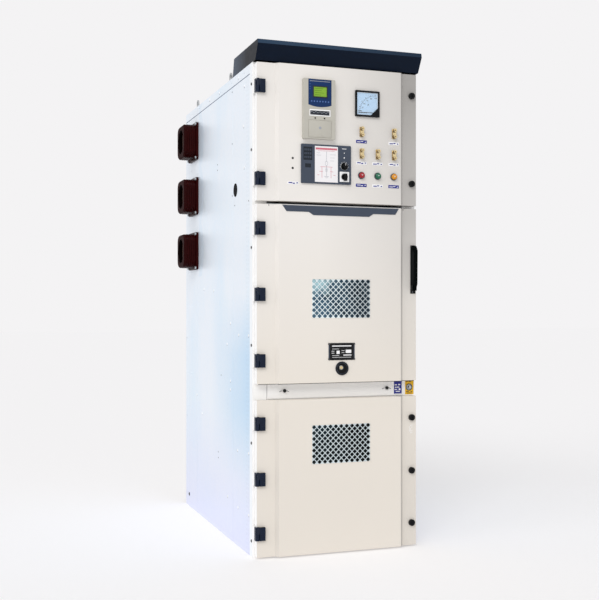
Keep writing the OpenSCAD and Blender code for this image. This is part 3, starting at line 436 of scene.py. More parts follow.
def wall_sheet(name, base):
    """The outer walls: coated sheet with seams, dimples, slots and patches of cooler tone; the
    patch in front of each bushing is a painted reflection.
    """
    g = Graph(name, metallic=0.45, specular_ior_level=0.3)
    back, up = g.along("Y"), g.along("Z")
    crystal = g.node("ShaderNodeSeparateColor", {}, {"Color": g.cells(70.0)}, 0)
    streak = g.noise(7.0, 4.0, (1.0, 1.0, 0.06), 0.65)
    smear = g.noise(1.3, 4.0, (1.0, 1.0, 0.45), 0.55)
    lilac = tuple(c * w for c, w in zip(base, (0.88, 0.85, 0.985)))
    azure = tuple(c * w for c, w in zip(base, (0.78, 0.92, 1.0)))
    deep = tuple(c * w for c, w in zip(base, (0.62, 0.80, 0.95)))
    dark = tuple(c * w for c, w in zip(base, (0.16, 0.20, 0.28)))
    coat = g.blend(base, azure, g.ramp(smear, 0.42, 0.72) * 0.8 + crystal * 0.08)
    coat = g.blend(coat, lilac, g.ramp(up, 0.62, 0.02) * 0.85 + streak * 0.12)
    near_post = g.ramp(back, 0.1, -0.6) * g.ramp(up, 1.20, 0.90) * g.ramp(up, 0.30, 0.65)
    # Painted reflection: the cooler patch on the sheet in front of each busbar bushing, in the
    # deep colour.
    beside = g.band(back, 0.300, 0.085) * (bar_distance(g) < 0.0500) * (up > 1.30)
    coat = g.blend(coat, deep, near_post * 0.85 + beside * 0.22)
    slots = (g.band(back, -0.606, 0.0018) + g.band(back, -0.628, 0.0014)) * ((up % 0.021) < 0.011)
    short = g.band(back, -0.2570, 0.0013) * g.band(up, 0.66, 0.15) * ((up % 0.021) < 0.011)
    seams = (
        g.band(back, -0.3565, 0.0014) + g.band(back, 0.4085, 0.0014)
        + g.band(back, 0.612, 0.0014))
    ledge = g.band(up, SHEET_LEDGE, 0.0024)
    marks = slots * 0.26 + short * 0.20 + seams * 0.12 + ledge * 0.95
    g.set(base_color=g.blend(coat, dark, marks), roughness=0.26 + crystal * 0.08 + smear * 0.16)
    pits = g.ramp(g.cells(7.5, output="Distance"), 0.10, 0.0)
    g.bump(crystal * 0.1 + streak * 0.3 + pits, 0.25, 0.0010)
    return g.material


def grille_paint(name, base, shaded_share):
    """The grilles' thin cool coat, whose cool tint is partly painted reflection, with painted
    shade towards the lock side and in the cut edges.
    """
    g = Graph(name, specular_ior_level=0.25)
    patch = g.noise(30.0, 3.0)
    # Painted shade: the coat darkens towards the lock side.
    lock_side_shade = g.ramp(g.along("X"), 0.0, 0.11)
    coat = g.blend(g.shade(base, 0.92, 1.05, patch), tuple(c * shaded_share for c in base), lock_side_shade)
    # Painted shade in the cut edges of the perforations.
    deep = g.ramp(g.along("Y"), PANEL_Y + 0.0023, PANEL_Y + 0.0030) * 0.7
    g.set(base_color=g.blend(coat, tuple(c * 0.2 for c in base), deep),
          roughness=0.40 + patch * 0.12)
    g.orange_peel()
    return g.material


def satin_header_paint(name, base, fold_highlight_colour, end_light_colour):
    """Dark satin paint with painted light: a painted highlight on the top fold, painted shade on
    the ends and painted light towards the back of the ends.
    """
    g = Graph(name, specular_ior_level=0.12)
    # Painted highlight on the top fold, which looks up, strongest towards the left and weaker on
    # the flat top.
    fold = g.along("Z") > TOP_Z + HEADER_FOLD
    # Painted light towards the back of the ends.
    end = (abs(g.along("X")) > -WALL_X - 0.0006) * g.ramp(g.along("Y"), -0.600, -0.400)
    worn = g.noise(40.0, 5.0, (0.3, 1.0, 1.0))
    left_highlight = g.ramp(g.along("X"), 0.35, -0.40)
    flat_top = g.ramp(g.along("Y"), HEADER_FRONT + 0.020, HEADER_FRONT + 0.045)
    front = g.blend(g.shade(base, 0.65, 1.15, worn), fold_highlight_colour,
                    fold * (0.30 + worn * 0.3 + left_highlight * 0.75) * (1 - flat_top * 0.75))
    # Painted shade on the ends, darkened towards a quarter of the base, which the painted light
    # towards their back then lifts.
    corner = (abs(g.along("X")) > -WALL_X - 0.0006) * 0.85
    sides = g.blend(front, tuple(c * 0.25 for c in base), corner)
    g.set(base_color=g.blend(sides, end_light_colour, end), roughness=0.42 + worn * 0.12)
    g.bump(g.noise(420.0, 2.0), 0.12, 0.0004)
    return g.material


def cast_coat(name, base, roughness=0.45):
    """Die casting with a thin dark coat: soft grain and rubbed spots."""
    g = Graph(name, specular_ior_level=0.2)
    grain = g.noise(700.0, 3.0)
    rub = g.noise(60.0, 4.0)
    g.set(base_color=g.shade(base, 0.8, 1.5, rub), roughness=roughness - 0.1 + rub * 0.2)
    g.bump(grain, 0.3, 0.0004)
    return g.material


def hinge_paint(name, base, frame_colour):
    """The hinge brackets: dark castings whose outer strap has the frame's white paint."""
    g = Graph(name, specular_ior_level=0.2)
    rub = g.noise(60.0, 4.0)
    strap = (g.along("X") < WALL_X + 0.0043) * (g.along("Y") > STRIP_Y + 0.0145)
    g.set(base_color=g.blend(g.shade(base, 0.8, 1.5, rub), frame_colour, strap),
          roughness=0.35 + rub * 0.2)
    g.bump(g.noise(700.0, 3.0), 0.3, 0.0004)
    return g.material


def bar_distance(g):
    """Square of the distance, across the wall, from the nearest main busbar's middle."""
    drop = abs(((g.along("Z") - (BUS_Z - BUS_PITCH / 2)) % BUS_PITCH) - BUS_PITCH / 2)
    away = g.along("Y") - BUS_Y
    return drop * drop + away * away


def cast_resin(name, base):
    """Cast epoxy: deep brown-red with faint flow marks, with painted shade inside the bushings and
    round their openings.
    """
    g = Graph(name, specular_ior_level=0.06)
    flow = g.noise(9.0, 5.0, (1.0, 1.0, 2.2), 0.6)
    grain = g.noise(300.0, 2.0)
    # Painted shade inside the bushings' bores.
    inside = ((bar_distance(g) < 0.0672 ** 2) * (g.along("X") < WALL_X)
              * (g.along("Y") > BUS_Y - 0.1))
    # Painted shade round the bushings' openings, in a darker red than the resin.
    mouth_shade = g.ramp(g.along("X"), WALL_X - 0.066, WALL_X - 0.072)
    rim = tuple(c * w for c, w in zip(base, (0.65, 0.12, 0.12)))
    outside = g.blend(g.shade(base, 0.6, 1.35, flow), rim, mouth_shade)
    g.set(base_color=g.blend(outside, tuple(c * 0.12 for c in base), inside),
          roughness=0.26 + flow * 0.2 + mouth_shade * 0.3)
    g.bump(flow * 0.5 + grain * 0.5, 0.12, 0.0012)
    return g.material


def bare_metal(name, base, tarnish, share=0.6, roughness=0.30, scale=14.0):
    """Turned or drawn metal with brush lines and some tarnish."""
    g = Graph(name, metallic=1.0)
    patch = g.noise(scale, 5.0, rough=0.62)
    brushed = g.noise(260.0, 2.0, (1.0, 1.0, 0.05))
    g.set(base_color=g.blend(base, tarnish, patch * share), roughness=roughness + patch * 0.22)
    g.bump(brushed, 0.18, 0.0003)
    return g.material


def link_brass(name, base, tarnish):
    """Cast brass of the test links: bright on faces turned to the front and the top, with painted
    shade on flanks and undersides and some random tarnish.
    """
    g = Graph(name, metallic=0.85)
    patch = g.noise(170.0, 4.0, rough=0.6)
    facing = g.node("ShaderNodeTexCoord", {}, {}, "Normal")
    sideways = abs(g.node("ShaderNodeSeparateXYZ", {}, {"Vector": facing}, "X"))
    upwards = g.node("ShaderNodeSeparateXYZ", {}, {"Vector": facing}, "Z")
    # Painted shade on flanks and undersides, by the way each face turns; random tarnish adds to
    # it.
    flank_shade = g.ramp(sideways, 0.30, 0.85) * 0.75 + g.ramp(upwards, -0.10, -0.70) * 0.75
    g.set(base_color=g.blend(base, tarnish, flank_shade + patch * 0.35), roughness=0.18 + patch * 0.2)
    g.bump(g.noise(260.0, 2.0, (1.0, 1.0, 0.05)), 0.18, 0.0003)
    return g.material


def bar_copper(name, base, tarnish):
    """Copper bars, painted near black as shade where their ends stand in the wall bushings."""
    g = Graph(name, metallic=0.9)
    patch = g.noise(14.0, 5.0, rough=0.62)
    brushed = g.noise(260.0, 2.0, (1.0, 1.0, 0.05))
    # Painted shade: the bar ends inside the bushings are made near black.
    outside = (g.along("X") < WALL_X) * 0.94
    coat = g.blend(base, tarnish, patch * 0.6)
    g.set(base_color=g.blend(coat, tuple(c * 0.12 for c in tarnish), outside),
          roughness=0.30 + patch * 0.22 + outside * 0.3)
    g.bump(brushed, 0.18, 0.0003)
    return g.material


def moulding(name, base, roughness=0.48, grain=650.0, coat=0.0, gloss=0.15):
    """Moulded plastic with a fine spark-eroded grain."""
    g = Graph(name, coat_weight=coat, specular_ior_level=gloss)
    spark = g.noise(grain, 3.0)
    haze = g.noise(18.0, 3.0)
    g.set(base_color=g.shade(base, 0.93, 1.07, haze), roughness=roughness - 0.06 + haze * 0.14)
    g.bump(spark, 0.25, 0.00025)
    return g.material


def fittings_paint(name, base, handle_colour):
    """The strip and plate on the doors, and the near-black base behind the door handle."""
    g = Graph(name, specular_ior_level=0.15)
    haze = g.noise(18.0, 3.0)
    behind = g.along("X") > DOOR_STRIP_X
    g.set(base_color=g.blend(g.shade(base, 0.93, 1.07, haze), handle_colour, behind),
          roughness=0.42 + haze * 0.14)
    g.bump(g.noise(650.0, 3.0), 0.25, 0.00025)
    return g.material


def rubber(name):
    """Soft black sealing rubber with a bloom."""
    g = Graph(name, specular_ior_level=0.08)
    bloom = g.noise(50.0, 4.0)
    g.set(base_color=g.shade(rgb(15, 16, 18), 0.7, 1.7, bloom), roughness=0.6 + bloom * 0.25)
    g.bump(g.noise(500.0, 2.0), 0.3, 0.0003)
    return g.material


def engraved_strip(name, base):
    """Two-layer plastic strip with faint scratches."""
    g = Graph(name, specular_ior_level=0.3)
    scratch = g.noise(180.0, 3.0, (0.08, 1.0, 1.0))
    g.set(base_color=g.shade(base, 0.90, 1.03, scratch), roughness=0.34 + scratch * 0.18)
    g.bump(scratch, 0.1, 0.0002)
    return g.material


def lens(name, base):
    """Clear coloured plastic: deep at the rim, pale where the diffuser shows."""
    g = Graph(name, coat_weight=0.35, coat_roughness=0.05, specular_ior_level=0.3, ior=1.5)
    cloud = g.noise(120.0, 2.0)
    g.set(base_color=g.shade(base, 0.6, 1.15, cloud), roughness=0.12 + cloud * 0.08)
    g.bump(g.cells(380.0, output="Distance"), 0.25, 0.0006)
    return g.material


def clear_pane(name, tint, alpha):
    """An instrument glass: mostly clear, with a few wipe marks."""
    g = Graph(name, base_color=tint, specular_ior_level=0.15)
    wipe = g.noise(11.0, 4.0, (1.0, 1.0, 0.3))
    g.set(roughness=0.03 + wipe * 0.06, alpha=alpha - 0.03 + wipe * 0.06)
    g.bump(wipe, 0.05, 0.001)
    return g.material


def tinted_pane(name, dark, pale, middle, cloudy):
    """A window pane: deep tint that also stands for the shade behind it, with painted light
    towards its hinge side and painted reflections as pale cloudy patches towards its upper hinge
    side.
    """
    g = Graph(name, specular_ior_level=0.1)
    x, z = middle
    # Painted reflections: pale cloudy patches, gathered towards the upper hinge side.
    left = g.ramp(g.along("X"), x + 0.02, x - 0.14)
    high = g.ramp(g.along("Z"), z - 0.01, z + 0.09)
    cloud = g.noise(24.0, 4.0, (1.0, 1.0, 0.8), 0.62)
    patch = g.ramp(cloud + left * high * 0.75, 0.62, 0.98) * cloudy
    # Painted light: the deep tint lifts towards the hinge side.
    hinge_side_light = g.ramp(g.along("X"), x + 0.075, x - 0.06)
    low = g.noise(13.0, 3.0)
    tint = g.blend(g.shade(dark, 0.15, 0.9, low), tuple(c * 2.6 for c in dark),
                   hinge_side_light * g.ramp(low, 0.25, 0.60))
    g.set(base_color=g.blend(tint, pale, patch), roughness=0.16 + cloud * 0.1,
          alpha=0.90 + low * 0.1)
    g.bump(cloud, 0.05, 0.001)
    return g.material


def display_glass(name, base, pitch=0.0016):
    """A segment display: fine dot columns and rows on a bright field."""
    g = Graph(name, coat_weight=0.1, coat_roughness=0.05, specular_ior_level=0.2)
    across = g.band((g.along("X") % pitch), pitch / 2, pitch * 0.42)
    up = g.band((g.along("Z") % pitch), pitch / 2, pitch * 0.42)
    glow = g.noise(30.0, 2.0)
    lit = g.shade(base, 0.88, 1.12, glow)
    edge = tuple(c * 0.8 for c in base)
    g.set(base_color=g.blend(edge, lit, across * up), roughness=0.2 + glow * 0.05)
    return g.material


def printed_card(name, base):
    """Printed dial or diagram card with a faint paper tooth."""
    g = Graph(name, specular_ior_level=0.25)
    tooth = g.noise(800.0, 3.0)
    fade = g.noise(14.0, 2.0)
    g.set(base_color=g.shade(base, 0.95, 1.03, fade), roughness=0.45 + tooth * 0.1)
    g.bump(tooth, 0.08, 0.0002)
    return g.material


def plain_floor(name, base):
    """Matt studio floor, even and pale, that keeps the cabinet's shadow."""
    g = Graph(name, roughness=0.9, specular_ior_level=0.0, emission_color=base,
              emission_strength=0.30)
    held = tuple(c * 0.85 for c in base)
    g.set(base_color=g.shade(held, 0.998, 1.0, g.noise(0.6)))
    return g.material


def make_finishes(colours):
    """All finishes by name."""
    c = colours
    return {
        "door_paint": door_paint("door_paint", c.door_paint, c.frame_paint, c.hinge_coat),
        "cover_paint": textured_paint("cover_paint", c.door_paint),
        "frame_paint": frame_coat("frame_paint", c.frame_paint, c.wall_metal),
        "wall_metal": wall_sheet("wall_metal", c.wall_metal),
        "roof_metal": coated_sheet("roof_metal", c.wall_metal),
        "inner_metal": coated_sheet("inner_metal", c.inner_metal, 50.0, 0.36),
        "breaker_grille_paint": grille_paint("breaker_grille_paint", c.breaker_grille, 0.62),
        "cable_grille_paint": grille_paint("cable_grille_paint", c.cable_grille, 0.86),
        "header_paint": satin_header_paint(
            "header_paint", c.header_paint, c.header_fold_highlight, c.header_end_light),
        "hinge_coat": cast_coat("hinge_coat", c.hinge_coat),
        "hinge_paint": hinge_paint("hinge_paint", c.hinge_coat, c.frame_paint),
        "resin": cast_resin("resin", c.resin),
        "copper": bare_metal("copper", c.copper, rgb(128, 74, 52)),
        "bar_copper": bar_copper("bar_copper", c.copper, rgb(128, 74, 52)),
        "brass": link_brass("brass", c.brass, rgb(86, 60, 34)),
        "plating": bare_metal("plating", c.plating, rgb(150, 148, 130), 0.5, 0.34, 30.0),
        "dark_plating": bare_metal("dark_plating", rgb(120, 124, 130), rgb(70, 66, 60)),
        "relay_housing": moulding("relay_housing", c.relay_housing),
        "relay_panel": moulding("relay_panel", c.relay_panel, 0.36, 900.0),
        "key_face": moulding("key_face", rgb(88, 118, 176), 0.4, 900.0),
        "display": display_glass("display", c.display),
        "display_ink": moulding("display_ink", tuple(v * 0.42 for v in c.display), 0.4),
        "meter_black": moulding("meter_black", rgb(16, 18, 22), 0.30, 400.0),
        "dial": printed_card("dial", c.dial),
        "ink": moulding("ink", rgb(48, 52, 60), 0.55),
        "white_print": engraved_strip("white_print", rgb(253, 253, 255)),
        "grey_print": engraved_strip("grey_print", rgb(166, 170, 178)),
        "pink_print": engraved_strip("pink_print", rgb(214, 120, 134)),
        "sheet_card": printed_card("sheet_card", rgb(246, 244, 246)),
        "slate": moulding("slate", c.slate, 0.46),
        "fittings_paint": fittings_paint("fittings_paint", c.slate, rgb(8, 12, 13)),
        "dark_window": moulding("dark_window", rgb(34, 40, 48), 0.16, 300.0, 0.1),
        "black": moulding("black", rgb(11, 12, 14), 0.42),
        "handle_black": moulding("handle_black", rgb(3, 7, 7), 0.55, 300.0, 0.05, 0.0),
        "glossy_black": moulding("glossy_black", rgb(10, 11, 13), 0.24, 300.0, 0.05, 0.25),
        "mechanism": textured_paint("mechanism", rgb(120, 130, 138), 0.40),
        "label_blue": engraved_strip("label_blue", c.label_blue),
        "label_yellow": engraved_strip("label_yellow", c.label_yellow),
        "lamp_red": lens("lamp_red", c.lamp_red),
        "lamp_green": lens("lamp_green", c.lamp_green),
        "lamp_amber": lens("lamp_amber", c.lamp_amber),
        "breaker_pane": tinted_pane(
            "breaker_pane", c.window_dark, c.window_reflection, WINDOWS[0][1:], 1.0),
        "cable_pane": tinted_pane("cable_pane", c.vent_dark, c.window_dark, WINDOWS[1][1:], 0.25),
        "meter_glass": clear_pane("meter_glass", rgb(240, 246, 252), 0.08),
        "rubber": rubber("rubber"),
        "floor": plain_floor("floor", c.backdrop),
    }


FINISH = {}

NODE_FINISH = {
    "door_paint": ["instrument_door", "breaker_door", "cable_door"],
    "cover_paint": ["rear_covers"],
    "frame_paint": ["front_frame"],
    "breaker_grille_paint": ["breaker_grille"],
    "cable_grille_paint": ["cable_grille"],
    "wall_metal": ["left_side_wall", "right_side_wall"],
    "roof_metal": ["roof_plate", "relief_flap_front", "relief_flap_middle", "relief_flap_rear"],
    "inner_metal": ["instrument_box", "inner_partitions", "gland_plate"],
    "header_paint": ["header"],
    "hinge_paint": ["hinge_brackets"],
    "resin": ["busbar_bushings", "contact_boxes", "current_transformers", "breaker_poles"],
    "bar_copper": ["main_busbars"],
    "copper": ["fixed_contacts", "earth_bar", "contact_arms", "earthing_blades"],
    "brass": ["link_posts", "test_link_1", "test_link_2", "test_link_3", "test_link_4",
              "test_link_5"],
    "plating": [
        "base_frame", "cover_bolts", "lifting_lugs", "lock_bar", "earthing_switch_frame",
        "earthing_drive_shaft", "truck_chassis", "upper_shutter", "lower_shutter"],
    "dark_plating": ["front_axle", "rear_axle"],
    "relay_housing": ["relay_case"],
    "meter_black": ["ammeter_case", "ammeter_needle"],
    "slate": ["mimic_unit"],
    "fittings_paint": ["door_fittings"],
    "mechanism": ["breaker_mechanism"],
    "handle_black": ["door_handle"],
    "black": [
        "instrument_latch_top", "instrument_latch_bottom", "cable_latch_top",
        "cable_latch_middle", "cable_latch_bottom", "port_lock", "mimic_knob", "mimic_switch"],
}


# Modelling helpers

def alone(obj):
    """Selects one piece and nothing else."""
    bpy.ops.object.select_all(action="DESELECT")
    obj.select_set(True)
    bpy.context.view_layer.objects.active = obj


def settle(name):
    """Names the new primitive and puts its place and turn into its mesh."""
    obj = bpy.context.object
    alone(obj)
    bpy.ops.object.transform_apply(location=True, rotation=True, scale=True)
    obj.name = name
    obj.data.name = name
    return obj


def start_block(name, low, high):
    """A block between its lowest and highest corners."""
    low, high = Vector(low), Vector(high)
    bpy.ops.object.select_all(action="DESELECT")
    bpy.ops.mesh.primitive_cube_add(size=1, location=(low + high) / 2, scale=high - low)
    return settle(name)


TURNS = {"X": (0.0, math.pi / 2, 0.0), "Y": (math.pi / 2, 0.0, 0.0), "Z": (0.0, 0.0, 0.0)}


def start_round(name, centre, radius, depth, axis="Y", sides=40):
    """A disc or rod about its middle."""
    bpy.ops.object.select_all(action="DESELECT")
    bpy.ops.mesh.primitive_cylinder_add(
        vertices=sides, radius=radius, depth=depth, location=centre, rotation=TURNS[axis])
    return settle(name)


def start_ring(name, centre, radius, thickness, axis="Y", around=40, across=10):
    """A round ring, such as a washer lip or a spring."""
    bpy.ops.object.select_all(action="DESELECT")
    bpy.ops.mesh.primitive_torus_add(
        major_radius=radius, minor_radius=thickness, major_segments=around,
        minor_segments=across, location=centre, rotation=TURNS[axis])
    return settle(name)


def edit_faces(obj, test):
    """Goes into edit mode with the faces selected that pass the test."""
    alone(obj)
    bpy.ops.object.mode_set(mode="EDIT")
    bpy.ops.mesh.select_mode(type="FACE")
    bpy.ops.mesh.select_all(action="DESELECT")
    mesh = bmesh.from_edit_mesh(obj.data)
    for face in mesh.faces:
        face.select_set(test(face))
    bmesh.update_edit_mesh(obj.data)


def leave_edit():
    """Back to object mode."""
    bpy.ops.object.mode_set(mode="OBJECT")


def faces_front(face):
    """Whether a face looks to the front of the cabinet."""
    return face.normal.y < -0.9


def sink(obj, border, depth, test=faces_front, way=(0.0, 1.0, 0.0)):
    """Insets the chosen faces and moves the inner part along a direction."""
    edit_faces(obj, test)
    bpy.ops.mesh.inset(thickness=border)
    bpy.ops.mesh.extrude_region_move(
        TRANSFORM_OT_translate={"value": tuple(w * depth for w in way)})
    leave_edit()
    return obj


def cut(obj, point, normal):
    """Cuts a closed piece with a plane and closes it; what the normal points at goes."""
    edit_faces(obj, lambda face: True)
    bpy.ops.mesh.bisect(plane_co=point, plane_no=normal, use_fill=True, clear_outer=True)
    leave_edit()
    return obj


def soften(obj, width, segments=2, angle=30.0):
    """Rounds the sharp edges with a bevel and applies it."""
    alone(obj)
    bevel = obj.modifiers.new("edges", "BEVEL")
    bevel.width = width
    bevel.segments = segments
    bevel.limit_method = "ANGLE"
    bevel.angle_limit = math.radians(angle)
    bpy.ops.object.modifier_apply(modifier=bevel.name)
    return obj


def copy_to(obj, offset):
    """A copy with its own mesh, moved by an offset."""
    twin = obj.copy()
    twin.data = obj.data.copy()
    twin.data.transform(Matrix.Translation(offset))
    bpy.context.scene.collection.objects.link(twin)
    return twin


def fuse(name, parts):
    """Joins pieces of one finish into one object."""
    alone(parts[0])
    for part in parts[1:]:
        part.select_set(True)
    if len(parts) > 1:
        bpy.ops.object.join()
    obj = bpy.context.object
    obj.name = name
    obj.data.name = name
    return obj


def finish(obj, finish_name, body, angle=35.0):
    """Gives a piece its finish and sends it along with its body."""
    obj.data.materials.clear()
    obj.data.materials.append(FINISH[finish_name])
    alone(obj)
    bpy.ops.object.shade_smooth_by_angle(angle=math.radians(angle))
    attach(obj, body)
    return obj


def plate(name, middle, size, front, thickness, edge=0.0004):
    """A thin plate on the front, by its middle across and up; front is its back plane."""
    x, z = middle
    w, h = size
    obj = start_block(name, (x - w / 2, front - thickness, z - h / 2),
                      (x + w / 2, front, z + h / 2))
    return soften(obj, edge) if edge else obj


def screw_head(name, x, y, z, radius, height, facing=-1.0):
    """A low round head with a slot, facing the front or the back."""
    head = start_round(name, (x, y + facing * height / 2, z), radius, height, sides=20)
    soften(head, height * 0.35)
    slot = start_block(name + "_slot",
                       (x - radius * 0.75, y + facing * height * 1.02, z - radius * 0.14),
                       (x + radius * 0.75, y + facing * height * 0.45, z + radius * 0.14))
    carve(head, slot)
    return head


def carve(obj, tool):
    """Takes a tool's shape out of a piece and removes the tool."""
    alone(obj)
    remove = obj.modifiers.new("carve", "BOOLEAN")
    remove.operation = "DIFFERENCE"
    remove.object = tool
    remove.solver = "EXACT"
    bpy.ops.object.modifier_apply(modifier=remove.name)
    bpy.data.objects.remove(tool)
    return obj


def text_piece(name, words, x, z, y, height, raised=0.00015):
    """Generic figures, such as those of a dial, as a thin mesh on the front."""
    bpy.ops.object.select_all(action="DESELECT")
    bpy.ops.object.text_add(location=(x, y, z), rotation=(math.pi / 2, 0.0, 0.0))
    text = bpy.context.object
    text.data.body = words
    text.data.size = height
    text.data.extrude = raised
    text.data.align_x = "CENTER"
    text.data.align_y = "CENTER"
    text.data.resolution_u = 3
    bpy.ops.object.convert(target="MESH")
    return settle(name)


# Pieces

class CABINET_OT_finishes(bpy.types.Operator):
    """Gives every solid of the cabinet its finish"""

    bl_idname = "cabinet.finishes"
    bl_label = "Finishes"

    def execute(self, context):
        FINISH.update(make_finishes(context.scene.cabinet_colours))
        for finish_name, nodes in NODE_FINISH.items():
            for node in nodes:
                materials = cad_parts[node].data.materials
                materials.clear()
                materials.append(FINISH[finish_name])
        return {"FINISHED"}


class CABINET_OT_relay_front(bpy.types.Operator):
    """Adds the relay's blue panel, display, keys, strips and lower cover"""

    bl_idname = "cabinet.relay_front"
    bl_label = "Relay front"

    def execute(self, context):
        body = "instrument_door_leaf"
        face = PANEL_Y - RELAY_DEPTH
        x, z = RELAY[0] + 0.0025, RELAY[1]
        self.blue_panel(x, z, face, body)
        self.display(x + 0.001, z + 0.0775, face - 0.0008, body)
        self.keys(x, z + 0.0335, face - 0.0008, body)
        self.strips(x, z, face - 0.001, body)
        self.cover(x, z, face - 0.001, body)
        return {"FINISHED"}

    def blue_panel(self, x, z, face, body):
        """The blue field of the relay, round at its foot and cut at the sides and the top."""
        centre = (x, face - 0.0004, z + 0.178)
        panel = start_round("relay_blue_panel", centre, 0.1695, 0.0014, sides=160)
        for point, normal in (
                ((x - 0.0555, 0, 0), (-1, 0, 0)), ((x + 0.0555, 0, 0), (1, 0, 0)),
                ((0, 0, z + 0.1335), (0, 0, 1))):
            cut(panel, point, normal)
        soften(panel, 0.0005, 2, 50.0)
        finish(panel, "relay_panel", body)
        rim = plate("relay_panel_line", (x, z + 0.125), (0.098, 0.0022), face - 0.0011, 0.0003,
                    0.0)
        finish(rim, "grey_print", body)

    def display(self, x, z, face, body):
        """The relay's screen in its bezel, with rows of generic strokes."""
        bezel = plate("relay_display_bezel", (x, z), (0.072, 0.054), face, 0.0022, 0.0008)
        sink(bezel, 0.0045, 0.0014)
        finish(bezel, "ink", body)
        screen = plate("relay_display_screen", (x, z), (0.0615, 0.0435), face - 0.0008, 0.0005,
                       0.0)
        finish(screen, "display", body)
        rows = []
        for row, length in enumerate((0.040, 0.034, 0.042, 0.030)):
            middle = (x - 0.026 + length / 2, z + 0.0145 - row * 0.0096)
            rows.append(plate(f"row_{row}", middle, (length, 0.0022), face - 0.0013, 0.0002, 0.0))
        finish(fuse("relay_display_rows", rows), "display_ink", body)

    def keys(self, x, z, face, body):
        """The relay's small keys and the marks above them."""
        keys = []
        for i in range(7):
            at = x - 0.0405 + i * 0.0135
            key = start_round(f"key_{i}", (at, face - 0.0009, z), 0.0034, 0.0018, sides=20)
            keys.append(soften(key, 0.0005))
        finish(fuse("relay_keys", keys), "key_face", body)
        marks = []
        for i in range(5):
            at = z + 0.0545 + i * 0.0115
            marks.append(plate(f"mark_{i}", (x - 0.0475, at), (0.0045, 0.0022), face, 0.0004, 0.0))
        finish(fuse("relay_status_marks", marks), "key_face", body)

    def strips(self, x, z, face, body):
        """The label holder with generic marks, and the two studs below it."""
        strip = plate("relay_label_holder", (x, z - 0.018), (0.101, 0.030), face, 0.0012, 0.0004)
        finish(strip, "white_print", body)
        field = plate("relay_label_field", (x - 0.001, z - 0.0185), (0.0925, 0.0195),
                      face - 0.0012, 0.0003, 0)
        finish(field, "ink", body)
        ticks = []
        for i in range(9):
            middle = (x - 0.040 + i * 0.0098, z - 0.0145 - (i % 2) * 0.0035)
            ticks.append(plate(f"tick_{i}", middle, (0.0062, 0.0022), face - 0.0015, 0.0002, 0.0))
        finish(fuse("relay_label_marks", ticks), "grey_print", body)
        studs = []
        for at in (x - 0.0235, x + 0.0215):
            stud = start_round("stud", (at, face - 0.0013, z - 0.0425), 0.0033, 0.0026, sides=24)
            studs.append(soften(stud, 0.0006))
        finish(fuse("relay_port_studs", studs), "black", body)

    def cover(self, x, z, face, body):
        """The fixed lower cover with its notch and lip."""
        cover = plate("relay_lower_cover", (x, z - 0.091), (0.1075, 0.0755), face, 0.0016, 0.0008)
        finish(cover, "relay_housing", body)
        notch = start_round("relay_cover_notch", (x, face - 0.0016, z - 0.0865), 0.0062, 0.0010,
                            sides=32)
        soften(notch, 0.0003)
        finish(notch, "grey_print", body)
        lip = plate("relay_cover_lip", (x, z - 0.1225), (0.030, 0.0045), face - 0.0016, 0.0014,
                    0.0006)
        finish(lip, "relay_housing", body)


